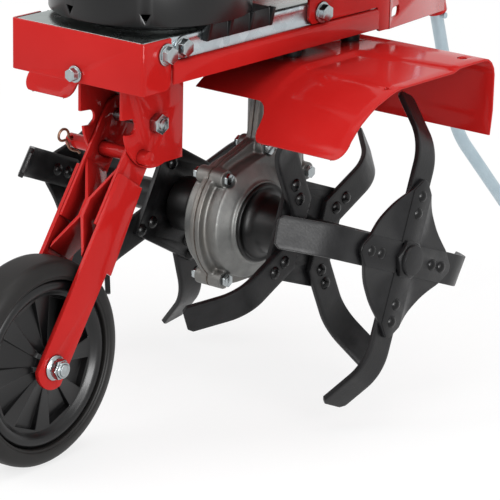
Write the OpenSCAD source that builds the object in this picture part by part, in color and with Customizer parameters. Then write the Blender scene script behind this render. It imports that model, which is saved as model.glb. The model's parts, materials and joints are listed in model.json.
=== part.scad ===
// Walk-behind tiller with a fold-up transport wheel, worm gear case, four tine stars and a depth stake.
// Machine frame while modelling: X along the tine shaft, -Y forward, +Z up, origin on the shaft.
// Millimetres. place() moves the whole machine so that the origin is under its middle, on the ground.

/* [Frame] */
// width over the front box
box_w = 140; // [120:1:160]
// front face of the front box, from the tine shaft
box_front = 206; // [190:1:220]
// height of the front box's lower edge above the shaft
box_bottom = 155; // [145:1:165]
// height of the front box's upper edge above the shaft
box_top = 196.5; // [185:0.5:210]
// length of the box's side tabs
tab_len = 33.5; // [25:0.5:45]
// thickness of the red sheet
sheet_t = 2.5; // [2:0.5:4]
// top face of the main frame sheet
frame_top = 177.4; // [165:0.1:180]
// depth of the main frame's folded sides
frame_side = 17.9; // [10:0.1:20]
// how far the main frame's sides stand out beyond the front box
rail_step = 2.5; // [1:0.5:6]
// rear end of the main frame
frame_rear = 97; // [80:1:110]
// clearance between the galvanised tray and the front box
tray_gap = 0.1; // [0.1:0.1:1]
// height of the galvanised tray
tray_h = 19.1; // [15:0.1:25]
// thickness of the tray sheet
tray_t = 2; // [1.5:0.5:3]

/* [Fork and wheel] */
// fork pivot, forward of the shaft
pivot_fwd = 142; // [130:1:155]
// fork pivot, above the shaft
pivot_up = 115; // [105:1:125]
// fork angle forward of straight down
fork_deg = 34.2; // [25:0.1:45]
// pivot to wheel axle
fork_len = 212.7; // [190:0.1:240]
// fold-up swing of the fork
fork_swing = 60; // [50:1:70]
// lock seats, from the pivot
lock_r = 30; // [26:0.5:34]
// lock pin radius
lock_pin_r = 6; // [5:0.5:7]
// width of the fork strips
arm_w = 31; // [26:1:36]
// thickness of the fork strips
arm_t = 4; // [3:0.5:6]
// radius of the fork strips' lower end, about the axle
arm_end_r = 18.5; // [16:0.5:20]
// distance from the fork pivot to the upper end of the brace's joined middle
brace_mid = 76; // [72:1:77]
// extra width at the rear of the fork strips at their welded step
arm_step = 6; // [4:0.5:7]
// distance from the fork pivot to that step
arm_step_low = 126; // [120:1:140]
// inner face of the fork strips, from the fork's middle
arm_in = 20; // [19:0.5:24]
// sideways offset of the fork and wheel from the box's middle
fork_off = 5; // [0:0.5:8]
// wheel radius
wheel_r = 85; // [75:1:100]
// tyre width
tyre_w = 37; // [30:1:38]
// radius of the tyre seat on the rim
tyre_seat_r = 69; // [60:1:75]
// axle bolt radius
axle_r = 5; // [4:0.5:6]

/* [Tine rotor] */
// tine tip radius
tine_r = 131.5; // [120:0.5:140]
// tine strip width
tine_w = 27; // [24:1:36]
// tine strip thickness
tine_t = 4.5; // [3:0.5:6]
// outer radius of the tine bend
bend_r = 66; // [50:1:80]
// angle of the tine bend
bend_deg = 57; // [45:1:65]
// inner star plate, inner face from the mid-plane
star_in_x = 71.5; // [66:0.5:80]
// inner star plate thickness
star_in_t = 4; // [3:0.5:5]
// outer star plate, outer face from the mid-plane
star_out_x = 179; // [165:0.5:185]
// how much nearer the mid-plane the left stars sit
left_near = 8; // [0:0.5:10]
// outer star plate thickness
star_out_t = 3.5; // [3:0.5:5]
// star plate radius
star_r = 63; // [58:1:68]
// phase of the inner tines, rearward of straight up
phase_in = -25; // [-45:1:45]
// phase of the outer tines, rearward of straight up
phase_out = 20.5; // [-45:0.5:45]
// phase of the left inner tines
phase_in_left = -16; // [-45:1:45]
// phase of the left outer tines
phase_out_left = 22; // [-45:1:45]
// outer rivet circle radius
rivet_out_r = 53; // [48:1:56]
// inner rivet circle radius
rivet_in_r = 38.4; // [34:0.2:42]
// rivet shank radius
rivet_r = 3.5; // [2.5:0.5:4]
// tine shaft radius
shaft_r = 11; // [10:0.5:13]
// tine shaft end beyond the outer star
shaft_end = 8; // [4:0.5:15]
// rotor hub tube radius
hub_r = 14.5; // [13.5:0.5:18]
// width across flats of the hex collar on the outer stars
collar_flats = 30; // [27:1:32]
// clevis pins of the hubs, from the mid-plane
pin_x = 52; // [50:0.5:55]
// angle by which the outer stars' sides are pressed back
star_press = 17; // [8:1:20]

/* [Gear case] */
// worm axis, behind the tine shaft
worm_back = 50; // [50:0.5:51]
// gear module
gear_m = 3; // [2.9:0.05:3]
// worm wheel teeth
gear_z = 27; // [26:1:27]
// wheel chamber inside radius
chamber_r = 46; // [45:0.5:48]
// wheel chamber outside radius
case_r = 50; // [49:0.5:54]
// split flange radius
flange_r = 58; // [55:0.5:62]
// half width of the case at the chamber wall
case_half = 17; // [16:0.5:20]
// shaft seal radius
seal_r = 34.5; // [30:0.5:36]
// neck radius of the rubber seal
seal_neck_r = 24; // [23.5:0.5:25]
// outer end of the right seal's neck, from the mid-plane
seal_end = 68; // [60:0.5:69]
// worm tower radius
tower_r = 24; // [22:0.5:26]
// running clearance on shafts
run_c = 0.05; // [0.02:0.01:0.1]

/* [Fenders and rear] */
// outer edge of the fenders, from the mid-plane
fender_out = 180; // [170:1:190]
// fender top height above the shaft
fender_top = 151; // [148:0.5:156]
// fender sheet thickness
fender_t = 2; // [1.5:0.5:3]
// depth of the pressed-in top panel of the fender
panel_dip = 2.6; // [2.2:0.1:3]
// inner edge of the top panel, from the mid-plane
panel_in = 86; // [82:1:92]
// right front tongue, inner edge from the mid-plane
tongue_right = 90; // [80:1:110]
// left front tongue, inner edge from the mid-plane
tongue_left = 107; // [80:1:120]
// left front tongue, outer edge from the mid-plane
tongue_left_out = 163; // [150:1:180]
// stake axis behind the shaft, at the holder's lower end
stake_back = 285.5; // [270:0.5:300]
// holder's lower end above the shaft
holder_low = 134; // [125:1:145]
// lean of the stake's upper part
stake_lean = 18.8; // [10:0.2:25]
// lean of the stake's lower part
stake_kick = 45; // [30:1:60]
// stake radius
stake_r = 6; // [5:0.5:8]

/* [Engine] */
// crank axis forward of the shaft
crank_fwd = 117; // [110:1:125]
// radius of the round engine housing
engine_r = 82; // [75:1:90]
// height of the housing's lower lip above the shaft
lip_up = 203; // [198:0.5:208]
// crank radius
crank_r = 9.5; // [8:0.5:11]
// pitch radius of the drive pulley
drive_r = 22; // [20:1:25]
// pitch radius of the driven pulley
driven_r = 37; // [33:1:38]

/* [Handlebar] */
// handle tube radius
tube_r = 11; // [9:0.5:13]
// handle pivot behind the shaft
fold_back = 330; // [300:1:360]
// handle pivot above the shaft
fold_up = 440; // [400:1:480]
// grip ends behind the shaft
grip_back = 720; // [680:1:760]
// grip height above the shaft
grip_up = 705; // [660:1:750]
// half distance between the grips
grip_half = 220; // [190:1:240]
// drive lever pivot forward of the grip ends
lever_fwd = 122; // [120:0.5:130]

/* [Hidden] */
$fn = 48;
red = [0.78, 0.15, 0.15];
black = [0.16, 0.16, 0.17];
steel = [0.72, 0.74, 0.76];
galv = [0.66, 0.73, 0.76];
cast = [0.55, 0.55, 0.54];
bronze = [0.72, 0.55, 0.28];
rubber = [0.1, 0.1, 0.1];
axle_y = -pivot_fwd - fork_len * sin(fork_deg);
axle_z = pivot_up - fork_len * cos(fork_deg);
wheel_front = axle_y - wheel_r;
y_shift = -(wheel_front + grip_back) / 2;
z_shift = wheel_r - axle_z;
frame_half = box_w / 2 - sheet_t;
rail_half = box_w / 2 + rail_step;
tray_w = 2 * (frame_half - tray_gap);
fender_bolt_x = box_w / 2 - 15;
fender_bolt_y = [0, 80];
frame_low = frame_top - sheet_t;
tray_top = frame_top + tray_h;
bend_start = tine_r - bend_r * sin(bend_deg);
worm_r = worm_back - gear_m * gear_z / 2;
cheek_in = arm_in + 0.5;
cheek_out = cheek_in + 3;
star_fold = tine_w / 2 + 0.6;
lead = PI * gear_m;
belt_z = (frame_top + tray_top - tray_t) / 2;
crank_y = -crank_fwd;
case_bolt_at = [[-32, 42], [-32, -47], [22.4, 58.7], [80, 26.2], [80, -24], [28, -56],
    [21, 112], [79, 112]];
lock_y = -pivot_fwd - lock_r * sin(fork_deg);
lock_z = pivot_up - lock_r * cos(fork_deg);

module place() {
    translate([0, y_shift, z_shift]) children();
}

module place_fork() {
    translate([fork_off, y_shift, z_shift]) children();
}

module both() {
    children();
    mirror([1, 0, 0]) children();
}

module bx(a, b) {
    translate(a) cube(b - a);
}

module xc(r, x0, x1, y, z) {
    translate([x0, y, z]) rotate([0, 90, 0]) cylinder(r = r, h = x1 - x0);
}

module yc(r, y0, y1, x, z) {
    translate([x, y0, z]) rotate([-90, 0, 0]) cylinder(r = r, h = y1 - y0);
}

module zc(r, z0, z1, x, y) {
    translate([x, y, z0]) cylinder(r = r, h = z1 - z0);
}

module xhex(af, x0, x1, y, z) {
    translate([x0, y, z]) rotate([0, 90, 0]) cylinder(r = af / 2 / cos(30), h = x1 - x0, $fn = 6);
}

module yz(x0, x1) {
    translate([x0, 0, 0]) rotate([90, 0, 90]) linear_extrude(height = x1 - x0) children();
}

module rod(p, q, r) {
    d = q - p;
    l = norm(d);
    translate(p) rotate([0, acos(d[2] / l), atan2(d[1], d[0])]) cylinder(r = r, h = l);
}

// Flange bolt with its nut: head outside at x, nut inside at x - grip.
module flange_bolt(x, grip, y, z, sr, af) {
    xc(af * 0.72, x, x + 1.8, y, z);
    xhex(af, x + 1.8, x + 7.5, y, z);
    xc(sr, x - grip - 8, x, y, z);
    xhex(af, x - grip - 6, x - grip, y, z);
}

// Front sheet of the frame: one plate bent back at both sides into a short tab.
module front_box() {
    color(red) place() difference() {
        union() {
            bx([-box_w / 2, -box_front, box_bottom], [box_w / 2, -box_front + sheet_t, box_top]);
            both() bx([frame_half, -box_front, box_bottom], [box_w / 2, -box_front + tab_len, box_top]);
        }
        both() difference() {
            bx([box_w / 2 - 4, -box_front - 1, box_bottom - 1], [box_w / 2 + 1, -box_front + 4,
                box_top + 1]);
            zc(4, box_bottom - 2, box_top + 2, box_w / 2 - 4, -box_front + 4);
        }
        both() difference() {
            bx([frame_half - 1, -box_front + tab_len - 8, box_bottom - 1],
                [box_w / 2 + 1, -box_front + tab_len + 1, box_bottom + 8]);
            xc(8, frame_half - 2, box_w / 2 + 2, -box_front + tab_len - 8, box_bottom + 8);
        }
        both() xc(4.1, frame_half - 1, box_w / 2 + 1, -179.5, 184.6);
        yc(3.1, -box_front - 1, -box_front + sheet_t + 1, 0, 162);
    }
}

// Main frame sheet: flat top that fits between the tabs in front, with rounded, folded sides behind them.
module main_frame() {
    tab_end = -box_front + tab_len + 0.5;
    color(red) place() difference() {
        union() {
            bx([-frame_half + 0.2, -box_front + sheet_t, frame_low], [frame_half - 0.2, tab_end + 2,
                frame_top]);
            bx([-rail_half, tab_end, frame_low], [rail_half, frame_rear, frame_top]);
            both() bx([rail_half - sheet_t, tab_end, frame_top - frame_side], [rail_half, frame_rear,
                frame_top]);
            both() bx([rail_half - 5, tab_end, frame_top - 5], [rail_half, frame_rear, frame_top]);
            zc(4, frame_low, frame_top + 6, 0, -58);
        }
        both() difference() {
            bx([rail_half - 5, tab_end - 1, frame_top - 5], [rail_half + 1, frame_rear + 1, frame_top + 1]);
            yc(5, tab_end - 2, frame_rear + 2, rail_half - 5, frame_top - 5);
        }
        zc(15, frame_low - 1, frame_top + 1, 0, worm_back);
        both() for (y = fender_bolt_y) zc(3.1, frame_low - 1, frame_top + 1, fender_bolt_x, y);
    }
}

// Galvanised tray: a shallow box upside down over the belt drive, carrying the engine.
module engine_tray() {
    y0 = -box_front + sheet_t + 0.3;
    color(galv) place() difference() {
        union() {
            bx([-tray_w / 2, y0, tray_top - tray_t], [tray_w / 2, 92, tray_top]);
            both() bx([tray_w / 2 - tray_t, y0, frame_top], [tray_w / 2, 92, tray_top]);
            bx([-tray_w / 2, y0, frame_top], [tray_w / 2, y0 + tray_t, tray_top]);
            bx([-tray_w / 2, 92 - tray_t, frame_top], [tray_w / 2, 92, tray_top]);
        }
        both() difference() {
            bx([tray_w / 2 - 3, y0 - 1, tray_top - 3], [tray_w / 2 + 1, 93, tray_top + 1]);
            yc(3, y0 - 2, 94, tray_w / 2 - 3, tray_top - 3);
        }
        zc(14, tray_top - 5, tray_top + 1, 0, crank_y);
        both() xc(4.1, tray_w / 2 - 4, tray_w / 2 + 1, -179.5, 184.6);
        both() xc(4.1, tray_w / 2 - 4, tray_w / 2 + 1, -157.7, 186.8);
        both() xc(4.1, tray_w / 2 - 4, tray_w / 2 + 1, 18.2, 186.8);
    }
}

// Six flange bolts with nuts: tab, tray flange and rear bracket on each side.
module deck_bolts() {
    color(steel) place() both() {
        flange_bolt(box_w / 2, box_w / 2 - tray_w / 2 + tray_t, -179.5, 184.6, 4, 12.5);
        flange_bolt(tray_w / 2, tray_t, -157.7, 186.8, 4, 12.5);
        flange_bolt(tray_w / 2 + 3, tray_t + 3, 18.2, 186.8, 4, 12.5);
    }
}

// Small flange bolt in the front face.
module front_bolt() {
    color(steel) place() translate([0, -box_front, 162]) rotate([0, 0, -90])
        flange_bolt(0, sheet_t, 0, 0, 3, 9.5);
}

// Bracket cheek outline: straight front edge, open upper notch, round lobe, closed lower seat.
module cheek() {
    difference() {
        union() {
            translate([-pivot_fwd - 41, pivot_up + 7]) square([75, frame_low - sheet_t - pivot_up - 7]);
            translate([-pivot_fwd, pivot_up]) circle(r = 37);
            translate([-pivot_fwd, pivot_up - 35]) square([34, 50]);
        }
        translate([-pivot_fwd, pivot_up]) circle(r = axle_r + 0.1);
        translate([lock_y, lock_z]) circle(r = lock_pin_r + run_c);
        translate([-pivot_fwd, pivot_up]) rotate([0, 0, -fork_deg - fork_swing]) {
            translate([0, -lock_r]) circle(r = lock_pin_r + 0.3);
            translate([-lock_pin_r - 0.3, -lock_r - 30]) square([2 * lock_pin_r + 0.6, 30]);
        }
    }
}

// Fork bracket: top plate under the frame with two cheek plates welded on.
module fork_bracket() {
    color(red) place_fork() {
        bx([-58, -195, frame_low - sheet_t], [58, -pivot_fwd + 37, frame_low]);
        both() yz(cheek_in, cheek_out) cheek();
    }
}

// Fork pivot bolt with a locking nut on the right.
module pivot_bolt() {
    color(steel) place_fork() {
        xhex(15, -cheek_out - 6, -cheek_out, -pivot_fwd, pivot_up);
        xc(axle_r, -cheek_out, cheek_out + 9.5, -pivot_fwd, pivot_up);
        xhex(15, cheek_out, cheek_out + 7.5, -pivot_fwd, pivot_up);
    }
}

// Lock pin: plain round bar with a cross hole for the clip.
module lock_pin() {
    color(red) place_fork() difference() {
        xc(lock_pin_r, -54, 32, lock_y, lock_z);
        translate([-48, lock_y, lock_z]) rotate([45, 0, 0]) zc(1.35, -20, 20, 0, 0);
    }
}

// Hairpin clip: one straight leg through the pin, an eye, and one leg outside it.
module lock_clip() {
    color([0.45, 0.33, 0.25]) place_fork() translate([-48, lock_y, lock_z]) rotate([45, 0, 0]) {
        zc(1.25, -14, 18.1, 0, 0);
        translate([0, -4.2, 18]) rotate([90, 0, 90]) rotate_extrude(angle = 180)
            translate([4.2, 0]) circle(r = 1.2);
        zc(1.25, -10, 18.1, 0, -8.4);
    }
}

module fork_at() {
    place_fork() translate([0, -pivot_fwd, pivot_up]) rotate([-fork_deg, 0, 0]) children();
}

// Fork arm: inner plate with the pivot and lock slot, outer strip with the axle eye.
module fork_arm() {
    yz(arm_in - 3, arm_in) difference() {
        union() {
            circle(r = 16);
            translate([-16, -96]) square([32, 96]);
        }
        circle(r = axle_r + run_c);
        translate([0, -lock_r]) circle(r = lock_pin_r + 0.4);
        intersection() {
            difference() {
                circle(r = lock_r + lock_pin_r + 0.4);
                circle(r = lock_r - lock_pin_r - 0.4);
            }
            translate([0, -60]) square([60, 60]);
        }
    }
    yz(arm_in, arm_in + arm_t) difference() {
        union() {
            translate([-arm_w / 2, -fork_len]) square([arm_w, fork_len - 51]);
            intersection() {
                translate([0, -fork_len]) circle(r = arm_end_r);
                translate([-arm_w / 2, -fork_len - 30]) square([arm_w, 40]);
            }
            polygon([[0, -arm_step_low], [arm_w / 2 + arm_step, -arm_step_low],
                [arm_w / 2 - 0.1, -52], [0, -52]]);
        }
        translate([0, -fork_len]) circle(r = axle_r + 0.1);
    }
}

module fork_arm_left() {
    color(red) fork_at() mirror([1, 0, 0]) fork_arm();
}

module fork_arm_right() {
    color(red) fork_at() fork_arm();
}

// Fork brace: two bent plates welded back to back between the arms.
module fork_brace() {
    color(red) fork_at() both() rotate([90, 0, 0]) linear_extrude(height = 28, center = true)
        polygon([[3 - arm_in, -44], [0, -brace_mid], [0, -brace_mid - 17], [3 - arm_in, -brace_mid - 48],
            [3 - arm_in, -brace_mid - 42.4], [-3, -brace_mid - 15.8], [-3, -brace_mid - 1.2],
            [3 - arm_in, -49.4]]);
}

// Axle bolt with washer-faced locking nut.
module wheel_axle() {
    x1 = arm_in + arm_t;
    color(steel) place_fork() {
        xhex(15, -x1 - 6.5, -x1, axle_y, axle_z);
        xc(axle_r, -x1, x1 + 12, axle_y, axle_z);
        xc(10.5, x1, x1 + 1.8, axle_y, axle_z);
        xhex(15, x1 + 1.8, x1 + 9, axle_y, axle_z);
    }
}

// Rim: hub, dished web with eight pockets a side, and a rounded ring that carries the tyre.
module wheel_rim() {
    h = arm_in - 0.3;
    color(black) place_fork() translate([0, axle_y, axle_z]) rotate([0, 90, 0]) difference() {
        rotate_extrude() polygon([[axle_r + run_c, -h], [14, -h], [17, -14], [55.5, -11], [59, -14.5],
            [61, -16], [66, -16], [tyre_seat_r, -13], [tyre_seat_r, 13], [66, 16], [61, 16], [59, 14.5],
            [55.5, 11], [17, 14], [14, h], [axle_r + run_c, h]]);
        for (k = [0 : 7]) rotate([0, 0, 45 * k + 9]) {
            rotate_extrude(angle = 27) translate([19, 5]) square([35, 20]);
            rotate_extrude(angle = 27) translate([19, -25]) square([35, 20]);
        }
    }
}

// Solid rubber tyre with round shoulders.
module wheel_tyre() {
    h = tyre_w / 2;
    color(rubber) place_fork() translate([0, axle_y, axle_z]) rotate([0, 90, 0]) rotate_extrude() {
        translate([tyre_seat_r, -h + 6]) square([wheel_r - tyre_seat_r, tyre_w - 12]);
        translate([tyre_seat_r, -h]) square([wheel_r - tyre_seat_r - 6, tyre_w]);
        translate([wheel_r - 6, h - 6]) circle(r = 6);
        translate([wheel_r - 6, -h + 6]) circle(r = 6);
    }
}

// Gear case as one casting: wheel chamber, seal housings, worm tower, split flange, lugs and top flange.
module case_body() {
    difference() {
        union() {
            xc(flange_r, -5, 5, 0, 0);
            xc(case_r, -case_half, case_half, 0, 0);
            both() translate([case_half, 0, 0]) rotate([0, 90, 0]) cylinder(r1 = case_r, r2 = 38, h = 7);
            xc(36, -27, 27, 0, 0);
            zc(tower_r, -40, frame_low - 8, 0, worm_back);
            yz(-case_half, case_half) polygon([[-10, 49], [26, 56], [worm_back, 56], [worm_back, -40],
                [10, -49]]);
            yz(-5, 5) polygon([[-20, 54], [16, 66], [24, 118], [76, 118], [86, 34], [86, -30], [50,
                -58], [0, -58]]);
            for (b = case_bolt_at) xc(8, -14, 14, b[0], b[1]);
            bx([-38, 14, frame_low - 8], [38, 86, frame_low]);
        }
        xc(chamber_r, -12.9, 12.9, 0, 0);
        xc(21, -23.6, 23.6, 0, 0);
        xc(shaft_r + 2, -40, 40, 0, 0);
        zc(14, -24, 62, 0, worm_back);
        zc(13, -33, -23, 0, worm_back);
        zc(13, 61, 71, 0, worm_back);
        zc(9, 60, 180, 0, worm_back);
        for (b = case_bolt_at) {
            xc(3.1, -60, 60, b[0], b[1]);
            both() xc(6.6, 14, 60, b[0], b[1]);
        }
    }
}

module gear_case_left() {
    color(cast) place() intersection() {
        case_body();
        bx([-80, -120, -120], [-0.25, 160, 200]);
    }
}

module gear_case_right() {
    color(cast) place() intersection() {
        case_body();
        bx([0.25, -120, -120], [80, 160, 200]);
    }
}

// Thin gasket between the case halves.
module case_gasket() {
    color(black) place() intersection() {
        case_body();
        bx([-0.25, -120, -120], [0.25, 160, 200]);
    }
}

// Case bolts with nuts through the lugs.
module case_bolts() {
    color(steel) place() for (b = case_bolt_at) {
        xc(3, -21, 14, b[0], b[1]);
        xhex(10, 14, 18.5, b[0], b[1]);
        xhex(10, -19, -14, b[0], b[1]);
    }
}

// Rubber dust seals on both seal housings.
module shaft_seals() {
    color(rubber) place() for (q = [0, 1]) mirror([q, 0, 0]) difference() {
        union() {
            xc(seal_r, 27, 30, 0, 0);
            xc(seal_neck_r, 29, seal_end - q * left_near, 0, 0);
        }
        xc(shaft_r + 0.3, 20, 50, 0, 0);
        xc(seal_neck_r - 3.5, 34, 80, 0, 0);
        difference() {
            xc(30.5, 29.2, 31, 0, 0);
            xc(seal_neck_r + 1.5, 28, 32, 0, 0);
        }
    }
}

// Four plain bearing rings: two on the tine shaft, two on the worm shaft.
module bearings() {
    color(steel) place() {
        both() difference() {
            xc(21, 13.2, 23.4, 0, 0);
            xc(shaft_r + run_c, 10, 30, 0, 0);
        }
        difference() {
            zc(13, -33, -24, 0, worm_back);
            zc(5.5 + run_c, -40, -20, 0, worm_back);
        }
        difference() {
            zc(13, 62, 71, 0, worm_back);
            zc(8 + run_c, 60, 80, 0, worm_back);
        }
    }
}

// Worm shaft: journal, single-start worm and the plain shaft up to the driven pulley.
module worm_shaft() {
    core = worm_r - 3.7;
    tip = worm_r + 2.8;
    color(steel) place() translate([0, worm_back, 0]) {
        zc(5.5, -32.5, -18, 0, 0);
        zc(core, -19, 21, 0, 0);
        zc(8, 20, belt_z + 7.5, 0, 0);
        translate([0, 0, -lead * 2]) linear_extrude(height = lead * 4, twist = -1440, slices = 64,
            convexity = 8)
            polygon([for (k = [0 : 15]) let (a = abs(k - 8) * 22.5, r = a < 45 ? tip : a > 105 ? core - 1
                : tip - (tip - core + 1) * (a - 45) / 60) [r * cos(k * 22.5 + 90),
                    r * sin(k * 22.5 + 90)]]);
    }
}

// Bronze worm wheel, keyed to the tine shaft.
module worm_wheel() {
    pr = gear_m * gear_z / 2;
    color(bronze) place() difference() {
        union() {
            xc(18, -12.5, 12.5, 0, 0);
            yz(-5, 5) {
                circle(r = pr - 3.8);
                for (k = [0 : gear_z - 1]) rotate([0, 0, 360 / gear_z * (k + 0.5)])
                    polygon([[30, -2.3], [pr - 3.8, -2.3], [pr + 2.2, -0.7], [pr + 2.2, 0.7], [pr - 3.8,
                        2.3], [30, 2.3]]);
            }
        }
        xc(shaft_r, -20, 20, 0, 0);
    }
}

// Tine shaft: one bar through the case, its round ends standing out beyond the outer stars.
module tine_shaft() {
    x1 = star_out_x + shaft_end;
    x2 = x1 - left_near;
    color(black) place() difference() {
        union() {
            xc(shaft_r, -x2 + 1.5, x1 - 1.5, 0, 0);
            translate([x1 - 1.5, 0, 0]) rotate([0, 90, 0]) cylinder(r1 = shaft_r, r2 = shaft_r - 1.5,
                h = 1.5);
            translate([1.5 - x2, 0, 0]) rotate([0, -90, 0]) cylinder(r1 = shaft_r, r2 = shaft_r - 1.5,
                h = 1.5);
        }
        both() zc(3.05, -30, 30, pin_x, 0);
    }
}

// Hub tubes that carry the stars.
module rotor_hubs() {
    color(black) place() for (s = [0, 1]) mirror([s, 0, 0]) difference() {
        xc(hub_r, 44, star_out_x - star_out_t - s * left_near, 0, 0);
        xc(shaft_r, 40, 200, 0, 0);
        zc(3.05, -30, 30, pin_x, 0);
    }
}

module rivet_holes(x0, x1, phase) {
    for (k = [0 : 3]) rotate([-phase - 90 * k, 0, 0]) {
        xc(rivet_r + 0.05, x0, x1, 0, rivet_in_r);
        xc(rivet_r + 0.05, x0, x1, 0, rivet_out_r);
    }
}

// Inner stars: flat square plates with cut corners, welded on the hubs.
module inner_stars() {
    color(black) place() for (s = [0, 1]) mirror([s, 0, 0]) {
        x0 = star_in_x - s * left_near;
        phase = s == 0 ? phase_in : phase_in_left;
        difference() {
            rotate([-phase, 0, 0]) yz(x0, x0 + star_in_t) intersection() {
                circle(r = star_r);
                rotate([0, 0, 45]) square([86, 86], center = true);
            }
            xc(hub_r, x0 - 1, x0 + star_in_t + 1, 0, 0);
            rivet_holes(x0 - 1, x0 + star_in_t + 1, phase);
        }
    }
}

// Outline of an outer star: a square on its corner with the tips rounded off.
module star_outline() {
    intersection() {
        circle(r = star_r);
        rotate([0, 0, 45]) square([99, 99], center = true);
    }
}

// One outer star, outer face at x1: flat arms, sides pressed back between them, and a hex collar.
module outer_star(x1) {
    x0 = x1 - star_out_t;
    yz(x0, x1) intersection() {
        star_outline();
        union() {
            square([2 * star_fold, 140], center = true);
            square([140, 2 * star_fold], center = true);
        }
    }
    for (q = [0 : 3], m = [0, 1]) rotate([90 * q, 0, 0]) mirror([0, m, 0]) intersection() {
        yz(x1 - 20, x1 + 1) intersection() {
            star_outline();
            polygon([[star_fold - 3, star_fold - 3], [60.2, 60], [star_fold - 3, 60]]);
        }
        translate([x1, star_fold, 0]) rotate([0, 0, star_press]) bx([-star_out_t, 0, 0], [0, 40, 70]);
    }
    xhex(collar_flats, x1 - 0.5, x1 + 5, 0, 0);
}

module outer_stars() {
    color(black) place() for (s = [0, 1]) mirror([s, 0, 0]) {
        x1 = star_out_x - s * left_near;
        phase = s == 0 ? phase_out : phase_out_left;
        difference() {
            rotate([-phase, 0, 0]) outer_star(x1);
            xc(shaft_r, x1 - 8, x1 + 6, 0, 0);
            rivet_holes(x1 - 8, x1 + 3, phase);
        }
    }
}

// One tine: pointed root, straight strip and a wide quarter bend towards -X, with a cut tip corner.
module tine(x0) {
    xb = x0 + tine_t - bend_r;
    difference() {
        union() {
            yz(x0, x0 + tine_t) polygon([[-tine_w / 2, 40], [0, 27], [tine_w / 2, 40], [tine_w / 2,
                bend_start],
                [-tine_w / 2, bend_start]]);
            translate([xb, 0, bend_start]) rotate([90, 0, 0]) rotate_extrude(angle = bend_deg)
                translate([bend_r - tine_t, -tine_w / 2]) square([tine_t, tine_w]);
        }
        xc(rivet_r + 0.05, x0 - 1, x0 + tine_t + 1, 0, rivet_in_r);
        xc(rivet_r + 0.05, x0 - 1, x0 + tine_t + 1, 0, rivet_out_r);
        translate([xb + (bend_r - tine_t / 2) * cos(bend_deg), tine_w / 2, tine_r - 2]) rotate([0,
            -bend_deg, 0])
            rotate([45, 0, 0]) cube([40, 6, 6], center = true);
    }
}

module inner_tines() {
    color(black) place() for (s = [0, 1]) mirror([s, 0, 0]) {
        x0 = star_in_x + star_in_t - s * left_near;
        rotate([s == 0 ? -phase_in : -phase_in_left, 0, 0]) for (k = [0, 2]) {
            rotate([-90 * k, 0, 0]) translate([2 * x0 + tine_t, 0, 0]) mirror([1, 0, 0]) tine(x0);
            rotate([-90 * k - 90, 0, 0]) tine(x0);
        }
    }
}

module outer_tines() {
    color(black) place() for (s = [0, 1]) mirror([s, 0, 0])
        rotate([s == 0 ? -phase_out : -phase_out_left, 0, 0])
        for (k = [0 : 3]) rotate([-90 * k, 0, 0]) tine(star_out_x - star_out_t - tine_t - s * left_near);
}

// Round-headed rivets, two to a tine.
module rivet(x0, x1, z) {
    translate([x0, 0, z]) rotate([0, 90, 0]) rotate_extrude() {
        square([rivet_r, x1 - x0]);
        intersection() {
            translate([0, x1 - x0 - 3]) circle(r = 6.5);
            translate([0, x1 - x0]) square([7, 5]);
        }
        intersection() {
            translate([0, 3]) circle(r = 6.5);
            translate([0, -5]) square([7, 5]);
        }
    }
}

module tine_rivets() {
    color(black) place() for (s = [0, 1], k = [0 : 3], z = [rivet_in_r, rivet_out_r]) mirror([s, 0, 0]) {
        x0 = star_in_x - s * left_near;
        x1 = star_out_x - s * left_near;
        rotate([(s == 0 ? -phase_in : -phase_in_left) - 90 * k, 0, 0]) rivet(x0,
            x0 + star_in_t + tine_t, z);
        rotate([(s == 0 ? -phase_out : -phase_out_left) - 90 * k, 0, 0])
            rivet(x1 - star_out_t - tine_t, x1, z);
    }
}

// Clevis pins that lock the hubs to the shaft.
module rotor_pins() {
    color(steel) place() both() {
        zc(3, -19, hub_r + 1, pin_x, 0);
        zc(5, hub_r, hub_r + 3, pin_x, 0);
    }
}

// Fender section: front flange rolled down, flat top, rear flange with a joggle.
module fender_section() {
    t = fender_t;
    h = fender_top;
    polygon([[-95, 102], [-84, 117], [-70, 129], [-50, 140], [-24, h - 4], [-14, h], [104, h], [112, h - 6],
        [116, h - 15], [116, 103], [113, 83], [113 - t, 83], [116 - t, 103], [116 - t, h - 15], [111,
            h - 7],
        [103.4, h - t], [-13.6, h - t], [-23, h - 4 - t], [-49, 140 - t], [-68.6, 129 - t], [-82.4,
            117 - t], [-93, 102 - t]]);
}

// Pressed-in top panel: its floor, the slope at its rear and the ends inside the sheet around it.
module panel_section() {
    f = fender_top - panel_dip;
    polygon([[-21.5, f - 0.9], [-20, f - 0.1], [-18.5, f], [54, f], [61.8, fender_top - 0.2],
        [64, fender_top - 0.4], [64, fender_top - fender_t + 0.3], [62.6, fender_top - fender_t - 0.2],
        [54.6, f - fender_t], [-18.5, f - fender_t], [-21.5, f - 2]]);
}

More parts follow.
